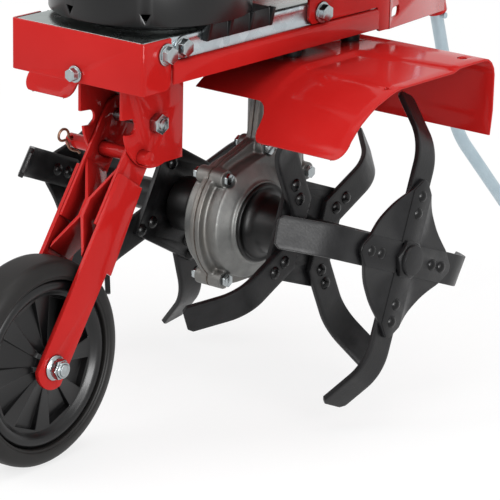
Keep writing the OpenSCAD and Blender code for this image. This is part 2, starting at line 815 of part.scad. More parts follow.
// One fender on the right side; tongue_in and tongue_end limit the front flange.
module fender(tongue_in, tongue_end) {
    difference() {
        union() {
            difference() {
                yz(10, fender_out) fender_section();
                bx([panel_in + 2, -20, fender_top - 8], [fender_out + 1, 62, fender_top + 1]);
            }
            yz(panel_in + 0.5, fender_out - 0.1) panel_section();
            bx([panel_in + 0.2, -19, fender_top - panel_dip - 1.6], [panel_in + 1.8, 61, fender_top - 0.5]);
        }
        difference() {
            bx([0, -120, 60], [tongue_in, -60, 129]);
            difference() {
                bx([tongue_in - 14, -130, 115], [tongue_in + 1, -50, 130]);
                yc(14, -140, -40, tongue_in - 14, 115);
            }
        }
        bx([tongue_end, -120, 60], [200, -78, 122]);
        difference() {
            bx([tongue_in - 1, -120, 60], [tongue_in + 9, -78, 110.5]);
            yc(9, -130, -70, tongue_in + 9, 110);
        }
        difference() {
            bx([tongue_end - 12, -120, 60], [200, -78, 114]);
            yc(12, -130, -70, tongue_end - 12, 113);
        }
        bx([0, -45, 60], [30, 130, 160]);
        bx([0, 90, 60], [57, 130, 140]);
        for (y = fender_bolt_y) zc(3.1, 100, 160, fender_bolt_x, y);
        zc(4, 100, 160, 164, 89.6);
    }
}

module fender_left() {
    color(red) place() mirror([1, 0, 0]) fender(tongue_left, tongue_left_out);
}

module fender_right() {
    color(red) place() fender(tongue_right, fender_out);
}

// Fender bolts with spacer collars up to the main frame.
module fender_bolts() {
    color(steel) place() both() for (y = fender_bolt_y) translate([fender_bolt_x, y, 0]) {
        zc(3, fender_top - 14, frame_top + 8, 0, 0);
        zc(8, fender_top, frame_low, 0, 0);
        translate([0, 0, fender_top - fender_t - 5]) cylinder(r = 5.8, h = 5, $fn = 6);
        translate([0, 0, frame_top]) cylinder(r = 5.8, h = 5, $fn = 6);
    }
}

// Rear bracket: two side plates outside the tray, bent inwards to meet at the stake holder.
module rear_bracket() {
    x0 = tray_w / 2;
    a = atan2(x0 - 9, stake_back - 117);
    color(red) place() both() {
        difference() {
            yz(x0, x0 + 3) polygon([[2, frame_top + 5], [6, frame_top + 0.5], [frame_rear + 0.5,
                frame_top + 0.5],
                [frame_rear + 0.5, 160], [frame_rear + 4, 156.5], [115, 156.5], [115, 215], [108, 244],
                [76, 244], [58, 222], [48, 200], [2, 200]]);
            xc(4.1, x0 - 1, x0 + 5, 18.2, 186.8);
            for (k = [0.045, 0.12]) xc(4.1, x0 - 1, x0 + 5, 60 + k * (fold_back - 60),
                203 + k * (fold_up - 203));
        }
        difference() {
            translate([x0, 113.5, 0]) rotate([0, 0, a]) difference() {
                yz(0, 3) polygon([[0, 156.5], [stake_back - 109, 137], [stake_back - 109, 176], [0, 215]]);
                xc(4.5, -1, 5, 12, 168);
                xc(4.5, -1, 5, 26, 168);
                yz(-1, 5) translate([12, 163.5]) square([14, 9]);
            }
            translate([0, stake_back, holder_low]) rotate([stake_lean, 0, 0]) zc(10.5, -30, 80, 0, 0);
        }
    }
}

// Stake holder: a leaning tube welded between the bracket arms, with a clamp screw.
module stake_holder() {
    color(red) place() translate([0, stake_back, holder_low]) rotate([stake_lean, 0, 0]) difference() {
        zc(10.5, 0, 58, 0, 0);
        zc(stake_r + 2 * run_c, -1, 60, 0, 0);
    }
}

// Depth stake: round bar with a stop pin under the holder, lower part bent further back.
module depth_stake() {
    e = stake_kick - stake_lean;
    re = 110;
    down = 104;
    color(galv) place() translate([0, stake_back, holder_low]) rotate([stake_lean, 0, 0]) {
        difference() {
            zc(stake_r, -down - 0.3, 110, 0, 0);
            for (z = [74, 98]) xc(2.8, -20, 20, 0, z);
        }
        xc(2.8, -10.5, 10.5, 0, -3.2);
        translate([0, re, -down]) rotate([90, 0, 90]) rotate([0, 0, 180]) rotate_extrude(angle = e)
            translate([re, 0]) circle(r = stake_r - 0.05);
        translate([0, re, -down]) rotate([e, 0, 0]) translate([0, -re, 0]) zc(stake_r, -100, 0.3, 0, 0);
    }
}

// V-groove pulley section, revolved about its own axis.
module pulley(pitch, bore) {
    rotate_extrude() polygon([[bore, -6], [pitch + 3, -6], [pitch + 3, -4.6], [pitch - 3.4, -1.9],
        [pitch - 3.4, 1.9],
        [pitch + 3, 4.6], [pitch + 3, 6], [bore, 6]]);
}

module drive_pulley() {
    color(steel) place() translate([0, crank_y, belt_z]) pulley(drive_r, crank_r);
}

module driven_pulley() {
    color(steel) place() translate([0, worm_back, belt_z]) pulley(driven_r, 8);
}

module belt_cut() {
    polygon([[-2.6, -1.4], [2.6, -3.6], [2.6, 3.6], [-2.6, 1.4]]);
}

// V-belt: two arcs and two straight runs of one tapered section.
module drive_belt() {
    d = crank_fwd + worm_back;
    al = asin((driven_r - drive_r) / d);
    run = d * cos(al);
    color(rubber) place() translate([0, 0, belt_z]) {
        translate([0, crank_y, 0]) rotate([0, 0, 180 + al]) rotate_extrude(angle = 180 - 2 * al)
            translate([drive_r, 0]) belt_cut();
        translate([0, worm_back, 0]) rotate([0, 0, -al]) rotate_extrude(angle = 180 + 2 * al)
            translate([driven_r, 0]) belt_cut();
        both() translate([0, crank_y, 0]) rotate([0, 0, -al]) translate([drive_r, -0.3, 0])
            rotate([-90, 0, 0]) mirror([0, 1, 0]) linear_extrude(height = run + 0.6) scale(0.97) belt_cut();
    }
}

// Idler arm under the belt plane, turning on a post in the main frame.
module idler_arm() {
    color(steel) place() translate([0, 0, frame_top]) {
        difference() {
            union() {
                zc(7, 0.4, 3, 0, -58);
                zc(6, 0.4, 3, -9, -24);
                translate([0, -58, 0.4]) rotate([0, 0, atan2(9, 34)]) bx([-6, 0, 0], [6, 35.2, 2.6]);
            }
            zc(4.05, -1, 5, 0, -58);
        }
        zc(3.5, 3, 14, -9, -24);
    }
}

// Idler pulley: flat-faced, runs on the arm's post inside the belt.
module idler_pulley() {
    color(black) place() translate([-9, -24, belt_z]) rotate_extrude()
        polygon([[3.5 + run_c, -4.5], [13, -4.5], [13, 4.5], [3.5 + run_c, 4.5]]);
}

// Engine base: sump, ribbed side skirts over the tray edges and the bearing for the crank.
module engine_base() {
    z0 = tray_top;
    x0 = tray_w / 2;
    color(black) place() difference() {
        union() {
            zc(62, z0, lip_up + 1, 0, crank_y);
            zc(engine_r - 2.5, lip_up, lip_up + 5, 0, crank_y);
            zc(24, lip_up, lip_up + 14, 0, crank_y);
            bx([-x0 - 5, -133, z0], [x0 + 5, -50, z0 + 6]);
            both() bx([x0 + 0.2, -133, z0 - 9.2], [x0 + 5, -50, z0 + 1]);
            both() for (y = [-133, -107, -80, -54]) translate([0, y, 0]) rotate([90, 0, 0]) mirror([0,
                0, 1])
                linear_extrude(height = 4) polygon([[x0 + 4, z0 - 9.2], [x0 + 5.5, z0 - 9.2],
                    [engine_r - 5.6, lip_up], [engine_r - 10.6, lip_up]]);
        }
        zc(crank_r + run_c, z0 - 1, lip_up + 20, 0, crank_y);
    }
}

// Round black shroud around the crankcase, open at the back for the cylinder.
module engine_shroud() {
    color(black) place() difference() {
        zc(engine_r, lip_up, lip_up + 55, 0, crank_y);
        zc(engine_r - 2.5, lip_up - 1, lip_up + 52.5, 0, crank_y);
        zc(20, lip_up + 40, lip_up + 60, 0, crank_y);
        bx([-36, -100, lip_up + 2], [36, -20, lip_up + 51]);
        for (a = [-10, -58, 38, 122, -122]) translate([0, crank_y, lip_up]) rotate([0, 0, a])
            translate([0, -70, 8])
            rotate([90, 90, 0]) cylinder(r = 4.5, h = 20, $fn = 3);
    }
}

// Crankcase and finned cylinder barrel, lying to the rear.
module crankcase() {
    z = lip_up + 27;
    color(cast) place() difference() {
        union() {
            zc(44, lip_up + 5, lip_up + 52.5, 0, crank_y);
            yc(22, crank_y + 40, -14, 0, z);
            for (k = [0 : 5]) bx([-33, -62 + 8 * k, z - 21.6], [33, -58.5 + 8 * k, z + 23]);
        }
        zc(24, lip_up, lip_up + 14, 0, crank_y);
        zc(crank_r + run_c, lip_up, lip_up + 60, 0, crank_y);
    }
}

// Finned head with the spark plug.
module cylinder_head() {
    z = lip_up + 27;
    color(cast) place() {
        bx([-30, -14, z - 20], [30, -4, z + 20]);
        for (k = [0 : 4]) bx([-30 + 13.9 * k, -5, z - 23], [-25.6 + 13.9 * k, 10, z + 23]);
        yc(10, -5, 3, 0, z);
        translate([0, 3, z]) rotate([-90, 0, 0]) cylinder(r = 9, h = 6, $fn = 6);
        yc(5, 9, 26, 0, z);
        yc(2, 26, 34, 0, z);
    }
}

// Crankshaft with its flywheel at the top and the pulley end below the tray.
module crankshaft() {
    color(steel) place() {
        zc(crank_r, belt_z - 6.5, lip_up + 78, 0, crank_y);
        zc(62, lip_up + 60, lip_up + 70, 0, crank_y);
        for (k = [0 : 11]) translate([0, crank_y, 0]) rotate([0, 0, 30 * k]) bx([34, -1.5, lip_up + 69],
            [60, 1.5, lip_up + 77]);
    }
}

// Blower housing over the flywheel with a slotted recoil cover.
module blower_housing() {
    z0 = lip_up + 55;
    color(black) place() translate([0, crank_y, 0]) difference() {
        union() {
            zc(engine_r, z0, z0 + 18, 0, 0);
            translate([0, 0, z0 + 18]) cylinder(r1 = engine_r, r2 = 62, h = 14);
            zc(58, z0 + 30, z0 + 46, 0, 0);
            bx([38, -67, z0 + 6], [66, -28, z0 + 30]);
        }
        zc(engine_r - 2.5, z0 - 1, z0 + 16, 0, 0);
        translate([0, 0, z0 + 15.9]) cylinder(r1 = engine_r - 2.5, r2 = 59.5, h = 13);
        zc(55.5, z0 + 20, z0 + 43.5, 0, 0);
        for (k = [0 : 15]) rotate([0, 0, 22.5 * k]) bx([24, -3, z0 + 40], [50, 3, z0 + 50]);
    }
}

// Starter grip, parked against the housing's rope guide.
module starter_grip() {
    z = lip_up + 73;
    color(black) place() translate([52, crank_y - 67.3, z]) {
        yc(4, -16, 0, 0, 0);
        xc(7, -22, 22, -20, 0);
        translate([-22, -20, 0]) sphere(r = 7);
        translate([22, -20, 0]) sphere(r = 7);
    }
}

// Fuel tank behind the blower, on top of the cylinder, with a filler neck.
module fuel_tank() {
    z0 = lip_up + 55;
    color(black) place() {
        bx([-52, -34, z0 + 8], [52, 44, z0 + 52]);
        both() yc(10, -34, 44, 42, z0 + 52);
        bx([-42, -34, z0 + 50], [42, 44, z0 + 62]);
        bx([-30, -28, z0 - 5], [30, 8, z0 + 8]);
        zc(17, z0 + 61, z0 + 68, 0, 14);
    }
}

// Fuel cap with grip ribs.
module fuel_cap() {
    z0 = lip_up + 55 + 62.4;
    color(black) place() translate([0, 14, z0]) difference() {
        union() {
            zc(22, 0, 18, 0, 0);
            for (k = [0 : 11]) rotate([0, 0, 30 * k]) zc(2.5, 0, 18, 21.5, 0);
        }
        zc(17 + run_c, -1, 6, 0, 0);
    }
}

// Muffler box on the left of the head, with its outlet.
module muffler() {
    z = lip_up + 27;
    color(steel) place() {
        bx([-74, -12, z - 26], [-40, 44, z + 22]);
        xc(9, -41, -30, -9, z);
        yc(7, 43, 49, -60, z + 4);
        for (k = [0 : 5]) bx([-76, -10 + 9.5 * k, z - 22], [-74, -5 + 9.5 * k, z + 18]);
    }
}

// Carburettor and air filter box on the right of the head.
module air_filter() {
    z = lip_up + 27;
    color(black) place() {
        xc(10, 30, 44, -9, z);
        bx([44, -20, z - 14], [60, 14, z + 16]);
        bx([60, -32, z - 22], [86, 40, z + 26]);
        bx([86, -28, z - 18], [90, 36, z + 22]);
    }
}

module tube_pair(p, q, r) {
    both() rod(p, q, r);
}

// Lower handle: two straight tubes bolted outside the rear bracket and a cross tube.
module handle_lower() {
    x0 = tray_w / 2 + 3 + tube_r;
    p = [x0, 60, 203];
    q = [x0, fold_back, fold_up];
    m = p + (q - p) * 0.72;
    color(black) place() difference() {
        union() {
            tube_pair(p, q, tube_r);
            both() translate(q) sphere(r = tube_r + 0.4);
            xc(tube_r - 2, -x0, x0, m[1], m[2]);
        }
        both() xc(3.6, x0 - 20, x0 + 20, q[1], q[2]);
        both() for (k = [0.045, 0.12]) xc(4.1, x0 - 20, x0 + 20, 60 + k * (fold_back - 60),
            203 + k * (fold_up - 203));
    }
}

// Upper handle: two tubes spreading to the grips, joined by a cross tube.
module handle_upper() {
    x1 = tray_w / 2 + 3 + 3 * tube_r + 1.5;
    p = [x1, fold_back, fold_up];
    k = [x1, fold_back + 60, fold_up + 54];
    q = [grip_half, grip_back - 120, grip_up - 5];
    g = [grip_half, grip_back - 2, grip_up];
    m = k + (q - k) * 0.35;
    color(black) place() difference() {
        union() {
            tube_pair(p, k, tube_r);
            both() translate(p) sphere(r = tube_r + 0.4);
            both() translate(k) sphere(r = tube_r + 0.4);
            tube_pair(k, q, tube_r);
            both() translate(q) sphere(r = tube_r + 0.4);
            tube_pair(q, g, tube_r);
            xc(tube_r - 2, -m[0], m[0], m[1], m[2]);
            bx([-grip_half - 4, grip_back - lever_fwd - 8, grip_up - 43],
                [-grip_half + 4, grip_back - lever_fwd + 8, grip_up - 12]);
            xc(8, grip_half - 23.7, grip_half - 8, grip_back - 138, grip_up - 5);
            xc(3, grip_half - 31, grip_half - 20, grip_back - 138, grip_up - 5);
        }
        both() xc(3.5 + run_c, x1 - 20, x1 + 20, p[1], p[2]);
        xc(5 + run_c, -grip_half - 10, -grip_half + 10, grip_back - lever_fwd, grip_up - 34);
    }
}

// Clamp bolts with star knobs at the handle joints, and the bolts of the lower tubes.
module handle_knobs() {
    x0 = tray_w / 2 + 3;
    x1 = x0 + 4 * tube_r + 1.5;
    color(black) place() both() {
        xc(3.5, x0 - 3, x1 + 4, fold_back, fold_up);
        xc(9, x1 + 0.8, x1 + 6, fold_back, fold_up);
        for (k = [0 : 4]) translate([0, fold_back, fold_up]) rotate([72 * k + 7, 0, 0])
            xc(6, x1 + 3, x1 + 13, 0, 13);
        xc(14, x1 + 2.2, x1 + 14, fold_back, fold_up);
    }
}

// Bolts that hold the lower tubes to the rear bracket.
module handle_bolts() {
    x0 = tray_w / 2;
    x1 = x0 + 3 + 2 * tube_r;
    color(steel) place() both() for (k = [0.045, 0.12])
        flange_bolt(x1, 3 + 2 * tube_r, 60 + k * (fold_back - 60), 203 + k * (fold_up - 203), 4, 12.5);
}

// Rubber grips over the tube ends.
module handle_grips() {
    p = [grip_half, grip_back - 120, grip_up - 5];
    g = [grip_half, grip_back - 2, grip_up];
    d = (g - p) / norm(g - p);
    color(rubber) place() both() difference() {
        union() {
            rod(p + 9 * d, g + 1.9 * d, tube_r + 4);
            for (k = [1 : 6]) rod(p + (9 + 15.4 * k) * d, p + (14 + 15.4 * k) * d, tube_r + 5);
        }
        rod(p - 5 * d, g + 0.02 * d, tube_r + 0.02);
    }
}

// Drive lever under the left grip, on a clamp block.
module drive_lever() {
    color(steel) place() translate([-grip_half, grip_back - lever_fwd, grip_up - 34]) {
        xc(6, 4.3, 16, 0, 0);
        xc(5, -8, 5, 0, 0);
        rod([10, 0, 0], [10, 102, -8], 4);
        translate([10, 100, -7.9]) sphere(r = 6);
    }
}

// Throttle lever on the right tube.
module throttle_lever() {
    color(black) place() translate([grip_half - 24, grip_back - 138, grip_up - 5]) {
        difference() {
            union() {
                xc(10, -6, 0, 0, 0);
                rod([-3, 0, 0], [-3, 10, 34], 2.5);
            }
            xc(3 + run_c, -10, 5, 0, 0);
        }
        translate([-3, 10, 34]) sphere(r = 6);
    }
}

front_box();
main_frame();
engine_tray();
deck_bolts();
front_bolt();
fork_bracket();
pivot_bolt();
lock_pin();
lock_clip();
fork_arm_left();
fork_arm_right();
fork_brace();
wheel_axle();
wheel_rim();
wheel_tyre();
gear_case_left();
gear_case_right();
case_gasket();
case_bolts();
shaft_seals();
bearings();
worm_shaft();
worm_wheel();
tine_shaft();
rotor_hubs();
inner_stars();
outer_stars();
inner_tines();
outer_tines();
tine_rivets();
rotor_pins();
fender_left();
fender_right();
fender_bolts();
rear_bracket();
stake_holder();
depth_stake();
drive_pulley();
driven_pulley();
drive_belt();
idler_arm();
idler_pulley();
engine_base();
engine_shroud();
crankcase();
cylinder_head();
crankshaft();
blower_housing();
starter_grip();
fuel_tank();
fuel_cap();
muffler();
air_filter();
handle_lower();
handle_upper();
handle_knobs();
handle_bolts();
handle_grips();
drive_lever();
throttle_lever();
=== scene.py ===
import bpy
import json
import math
from mathutils import Matrix, Vector

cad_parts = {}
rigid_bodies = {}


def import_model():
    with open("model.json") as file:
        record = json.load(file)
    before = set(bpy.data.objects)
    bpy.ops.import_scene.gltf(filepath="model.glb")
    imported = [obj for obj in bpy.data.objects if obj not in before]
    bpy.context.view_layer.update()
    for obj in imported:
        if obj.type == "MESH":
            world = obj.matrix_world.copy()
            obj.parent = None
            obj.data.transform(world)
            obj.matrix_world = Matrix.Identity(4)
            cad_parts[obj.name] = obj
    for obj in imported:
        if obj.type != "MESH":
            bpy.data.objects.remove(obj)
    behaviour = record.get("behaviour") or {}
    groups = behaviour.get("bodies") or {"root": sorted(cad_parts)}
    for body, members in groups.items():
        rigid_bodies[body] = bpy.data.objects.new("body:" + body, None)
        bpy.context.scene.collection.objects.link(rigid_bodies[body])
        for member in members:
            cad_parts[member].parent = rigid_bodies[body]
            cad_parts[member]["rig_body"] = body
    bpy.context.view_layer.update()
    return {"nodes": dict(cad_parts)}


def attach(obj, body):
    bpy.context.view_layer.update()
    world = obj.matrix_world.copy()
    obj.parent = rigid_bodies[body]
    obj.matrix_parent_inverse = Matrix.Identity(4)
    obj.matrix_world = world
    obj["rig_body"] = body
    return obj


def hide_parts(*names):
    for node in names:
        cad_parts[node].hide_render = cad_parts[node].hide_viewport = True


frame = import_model()

# Camera: a long lens three-quarters in front of the right side, a little above the shaft, close in
# on the lower half of the machine.
azimuth, elevation, roll = math.radians(38.45), math.radians(17.45), math.radians(1.32)
standpoint = Vector((1.43835, -1.97922, 0.83807))
back = Vector((math.sin(azimuth) * math.cos(elevation), -math.cos(azimuth) * math.cos(elevation),
               math.sin(elevation)))
level = Vector((math.cos(azimuth), math.sin(azimuth), 0))
upright = back.cross(level)
right = level * math.cos(roll) + upright * math.sin(roll)
up = upright * math.cos(roll) - level * math.sin(roll)
lens = bpy.data.cameras.new("camera")
lens.sensor_width = 36
lens.lens = 201.6
lens.clip_end = 40
camera = bpy.data.objects.new("camera", lens)
camera.matrix_world = Matrix.Translation(standpoint) @ Matrix((right, up, back)).transposed().to_4x4()
bpy.context.scene.collection.objects.link(camera)
bpy.context.scene.camera = camera


# Floor and light: a white sweep on the ground, a large soft lamp in front on the left, a second one
# on the right, a low one that only shines on glossy paint and a wide one overhead, in a plain white
# studio.
def linear(code):
    rgb = [int(code[i:i + 2], 16) / 255 for i in (1, 3, 5)]
    return [c / 12.92 if c <= 0.04045 else ((c + 0.055) / 1.055) ** 2.4 for c in rgb] + [1.0]


def plug(node, **sockets):
    for key, value in sockets.items():
        socket = node.inputs[int(key[1:]) if key[1:].isdigit() else key.replace("_", " ")]
        if isinstance(value, bpy.types.NodeSocket):
            node.id_data.links.new(value, socket)
        else:
            socket.default_value = value
    return node


def add(tree, kind, props=(), **sockets):
    new = tree.nodes.new("ShaderNode" + kind)
    for key, value in dict(props).items():
        if key == "stops":
            for stop, (at, code) in zip(new.color_ramp.elements, value.items()):
                stop.position, stop.color = at, linear(code)
        else:
            setattr(new, key, value)
    return plug(new, **sockets)


# The share of white is full for the rays that show the background: to the camera, in gloss, in glass.
def shown(tree):
    ray = add(tree, "LightPath")
    share = ray.outputs["Is Camera Ray"]
    for kind in ("Is Glossy Ray", "Is Transmission Ray"):
        share = add(tree, "Math", {"operation": "ADD", "use_clamp": True}, i0=share,
                    i1=ray.outputs[kind]).outputs[0]
    return share


world = bpy.data.worlds.new("white_studio")
bpy.context.scene.world = world
world.use_nodes = True
tree = world.node_tree
tree.nodes.clear()
bright = add(tree, "MapRange", Value=shown(tree), To_Min=0.6, To_Max=1.0)
sky = add(tree, "Background", Color=linear("#FFFFFF"), Strength=bright.outputs[0])
add(tree, "OutputWorld", Surface=sky.outputs[0])

floor_side, floor_gap = 24, 0.0005
bpy.ops.object.select_all(action="DESELECT")
bpy.ops.mesh.primitive_plane_add(size=floor_side, location=(0, 0, -floor_gap))
floor = bpy.context.object
floor.name = "floor"
# White paper: matt near the machine, where it keeps the shadow, and fading to the white of the sky
# between 1 and 3.5 m away.
paper = bpy.data.materials.new("white_paper")
paper.use_nodes = True
tree = paper.node_tree
tree.nodes.clear()
away = add(tree, "VectorMath", {"operation": "LENGTH"}, i0=add(tree, "NewGeometry").outputs["Position"])
faded = add(tree, "MapRange", Value=away.outputs["Value"], From_Min=1.0, From_Max=3.5, To_Min=0.7, To_Max=1.0)
share = add(tree, "Math", {"operation": "MULTIPLY"}, i0=shown(tree), i1=faded.outputs[0])
matt = add(tree, "BsdfDiffuse", Color=linear("#F2F2F2"))
glow = add(tree, "Emission", Color=linear("#FFFFFF"), Strength=1.08)
both = add(tree, "MixShader", i0=share.outputs[0], i1=matt.outputs[0], i2=glow.outputs[0])
add(tree, "OutputMaterial", Surface=both.outputs[0])
floor.data.materials.append(paper)

for name, stand, target, side, watts in (
        ("key", (-1.3, -2.3, 1.7), (0, -0.2, 0.25), 1.5, 25),
        ("fill", (2.4, -1.0, 1.4), (0, -0.15, 0.25), 1.2, 18),
        ("low", (2.1, -1.75, 0.62), (0.15, -0.3, 0.19), 1.0, 64),
        ("top", (0.3, -0.2, 2.6), (0, -0.1, 0.2), 2.0, 24)):
    panel = bpy.data.lights.new(name, "AREA")
    panel.shape = "SQUARE"
    panel.size = side
    panel.energy = watts
    lamp = bpy.data.objects.new(name, panel)
    lamp.location = stand
    lamp.rotation_euler = (Vector(target) - Vector(stand)).to_track_quat("-Z", "Y").to_euler()
    lamp.visible_diffuse = name != "low"
    bpy.context.scene.collection.objects.link(lamp)


# Front box and main frame: two plates of 2.5 mm steel sheet, cut, folded and bolted together, then
# powder coated red. The coat rounds every edge and has a slight orange-peel gloss.
def shader(name):
    paint = bpy.data.materials.new(name)
    paint.use_nodes = True
    tree = paint.node_tree
    return paint, tree, tree.nodes["Principled BSDF"], add(tree, "TexCoord").outputs["Object"]


def pick(piece):
    bpy.ops.object.select_all(action="DESELECT")
    bpy.context.view_layer.objects.active = piece
    piece.select_set(True)


def bring(name, data):
    piece = bpy.data.objects.new(name, data)
    bpy.context.scene.collection.objects.link(piece)
    pick(piece)
    return piece


def rough_copy(node):
    piece = bring(node + "_finished", frame["nodes"][node].data.copy())
    bpy.ops.mesh.customdata_custom_splitnormals_clear()
    bpy.ops.object.mode_set(mode="EDIT")
    bpy.ops.mesh.select_all(action="SELECT")
    bpy.ops.mesh.remove_doubles(threshold=2e-6)
    bpy.ops.mesh.dissolve_limited(angle_limit=math.radians(0.6))
    bpy.ops.object.mode_set(mode="OBJECT")
    return piece


def work(piece, kind, **settings):
    pick(piece)
    step = piece.modifiers.new("step", kind)
    for key, value in settings.items():
        setattr(step, key, value)
    bpy.ops.object.modifier_apply(modifier="step")


# Edges sharper than split degrees are rounded, edge mm wide.
def soften(piece, edge, split=35):
    work(piece, "BEVEL", width=edge / 1000, segments=2, limit_method="ANGLE", angle_limit=math.radians(split),
         use_clamp_overlap=False)
    bpy.ops.object.shade_smooth_by_angle(angle=math.radians(split))


def settle(piece, node, finish):
    piece.data.materials.clear()
    piece.data.materials.append(finish)
    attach(piece, frame["nodes"][node]["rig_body"])
    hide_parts(node)


def dress(node, finish, edge=0.6, split=35):
    piece = rough_copy(node)
    soften(piece, edge, split)
    settle(piece, node, finish)


# Red powder coat on steel: a glossy plastic film, even in colour, with 1.5 mm orange peel and clouds of
# 70 mm. In narrow corners and recesses the colour is darkened towards a dark red by ambient occlusion: painted
# shade.
red_powder, tree, bsdf, where = shader("red_powder_coat")
peel = add(tree, "TexNoise", Vector=where, Scale=650, Detail=2.0)
cloud = add(tree, "TexNoise", Vector=where, Scale=14, Detail=3.0)
tone = add(tree, "ValToRGB", {"stops": {0.3: "#BE1F1D", 0.7: "#C62624"}}, Fac=cloud.outputs["Fac"])
dull = add(tree, "MapRange", Value=cloud.outputs["Fac"], To_Min=0.07, To_Max=0.14)
relief = add(tree, "Bump", Strength=0.08, Distance=0.0002, Height=peel.outputs["Fac"])
# Painted shade: the nearer other surfaces are, the more the colour goes to #4A100E.
corner = add(tree, "AmbientOcclusion", {"samples": 6}, Distance=0.09)
clear = add(tree, "MapRange", Value=corner.outputs["AO"], From_Min=0.08, From_Max=0.62)
coat_with_painted_shade = add(tree, "Mix", {"data_type": "RGBA"}, i0=clear.outputs[0], i6=linear("#4A100E"),
           i7=tone.outputs["Color"])
plug(bsdf, Base_Color=coat_with_painted_shade.outputs[2], Roughness=dull.outputs[0], Normal=relief.outputs[0],
     Specular_IOR_Level=0.1)

dress("front_box", red_powder, 0.7)
dress("main_frame", red_powder, 0.7)

# Engine tray: a shallow pan of 2 mm galvanised sheet, turned upside down over the belt drive and
# bolted to the frame's sides. It carries the engine.
# Hot-dip zinc on steel: bright grey with faint 8 mm spangle, 17 mm streaks and a soft mirror gloss; the
# top face of the tray is painted darker in streaks, a painted dark reflection.
galvanised, tree, bsdf, where = shader("galvanised_sheet")
tray_top, top_depth = 0.3420, 0.0008
spangle = add(tree, "TexVoronoi", Vector=where, Scale=120)
streak = add(tree, "TexNoise", Vector=where, Scale=60, Detail=4.0)
tone = add(tree, "ValToRGB", {"stops": {0: "#A2ABB0", 1: "#BCC4C8"}}, Fac=spangle.outputs["Color"])
dull = add(tree, "MapRange", Value=streak.outputs["Fac"], To_Min=0.2, To_Max=0.36)
height = add(tree, "SeparateXYZ", Vector=where)
# Painted reflection: within 0.8 mm below the top face, streaks are mixed towards a darker grey.
on_top = add(tree, "MapRange", Value=height.outputs["Z"], From_Min=tray_top - top_depth, From_Max=tray_top)
reflection_streaks = add(tree, "MapRange", Value=streak.outputs["Fac"], From_Min=0.25, From_Max=0.5, To_Min=0.7, To_Max=1.0)
painted_reflection_mask = add(tree, "Math", {"operation": "MULTIPLY"}, i0=on_top.outputs[0], i1=reflection_streaks.outputs[0])
tone_with_painted_reflection = add(tree, "Mix", {"data_type": "RGBA"}, i0=painted_reflection_mask.outputs[0], i6=tone.outputs["Color"],
            i7=linear("#969D9B"))
plug(bsdf, Base_Color=tone_with_painted_reflection.outputs[2], Roughness=dull.outputs[0], Metallic=1.0)

dress("engine_tray", galvanised, 0.5)

# Deck bolts and front bolt: M8 and M6 flange bolts with nuts behind the sheets, which hold the front
# box, tray and rear bracket together.
# Bright zinc plating: cold silver, slightly uneven in brightness every 4 or 5 mm.
bright_zinc, tree, bsdf, where = shader("bright_zinc_plating")
patch = add(tree, "TexNoise", Vector=where, Scale=220, Detail=3.0)
tone = add(tree, "ValToRGB", {"stops": {0: "#8E9496", 1: "#B4BABC"}}, Fac=patch.outputs["Fac"])
dull = add(tree, "MapRange", Value=patch.outputs["Fac"], To_Min=0.16, To_Max=0.3)
plug(bsdf, Base_Color=tone.outputs["Color"], Roughness=dull.outputs[0], Metallic=1.0)

dress("deck_bolts", bright_zinc, 0.5)
dress("front_bolt", bright_zinc, 0.4)


# Fork bracket: two cheek plates welded under a top plate, in the frame's red coat. The rear edges of
# the cheeks are trimmed in one straight line.
def place(piece, x, y, z, turn=(0, 0, 0)):
    pick(piece)
    piece.location = (x / 1000, y / 1000, z / 1000)
    piece.rotation_euler = [math.radians(a) for a in turn]
    bpy.ops.object.transform_apply()
    return piece


def carve(piece, cutter, way="DIFFERENCE"):
    work(piece, "BOOLEAN", operation=way, solver="EXACT", object=cutter)
    bpy.data.objects.remove(cutter)


def weld_up(piece, *others):
    pick(piece)
    for other in others:
        other.select_set(True)
    bpy.ops.object.join()
    return piece


def block(low, high):
    bpy.ops.object.select_all(action="DESELECT")
    bpy.ops.mesh.primitive_cube_add(size=1, location=[(a + b) / 2000 for a, b in zip(low, high)],
                                    scale=[(b - a) / 1000 for a, b in zip(low, high)])
    bpy.ops.object.transform_apply()
    return bpy.context.object


cheek_rear, cheek_low, cheek_high = -294.6, 231, 296
bracket = rough_copy("fork_bracket")
carve(bracket, block((-60, cheek_rear, cheek_low), (70, cheek_rear + 9.6, cheek_high)))
soften(bracket, 0.6)
settle(bracket, "fork_bracket", red_powder)

# Fork pivot: a zinc-plated M10 bolt through both cheeks with a locking nut on the right. The fork
# turns on it when the wheel is folded up.
dress("pivot_bolt", bright_zinc, 0.5)

# Lock pin and clip: a 12 mm red bar that slides through the cheeks and holds the fork, and a hairpin
# of bent spring wire through its end.
# Yellow-passivated spring wire: brownish and dull, mottled every 2.5 mm.
spring_wire, tree, bsdf, where = shader("passivated_spring_wire")
patch = add(tree, "TexNoise", Vector=where, Scale=400, Detail=2.0)
tone = add(tree, "ValToRGB", {"stops": {0: "#6E5140", 1: "#9A7660"}}, Fac=patch.outputs["Fac"])
plug(bsdf, Base_Color=tone.outputs["Color"], Metallic=0.7, Roughness=0.4)

dress("lock_pin", red_powder, 0.8)


# The path is in mm about the pin's cross hole: sideways, along the straight leg and across it.
def wire(name, path, r, centre, tilt):
    line = bpy.data.curves.new(name, "CURVE")
    line.dimensions = "3D"
    line.bevel_depth = r / 1000
    line.bevel_resolution = 3
    line.use_fill_caps = True
    run = line.splines.new("NURBS")
    run.points.add(len(path) - 1)
    run.use_endpoint_u = True
    run.order_u = 3
    run.resolution_u = 5
    c, s = math.cos(math.radians(tilt)), math.sin(math.radians(tilt))
    for point, (x, u, v) in zip(run.points, path):
        point.co = ((centre[0] + x) / 1000, (centre[1] - u * s + v * c) / 1000,
                    (centre[2] + u * c + v * s) / 1000, 1)
    bring(name, line)
    bpy.ops.object.convert(target="MESH")
    bpy.ops.object.shade_smooth()
    return bpy.context.object


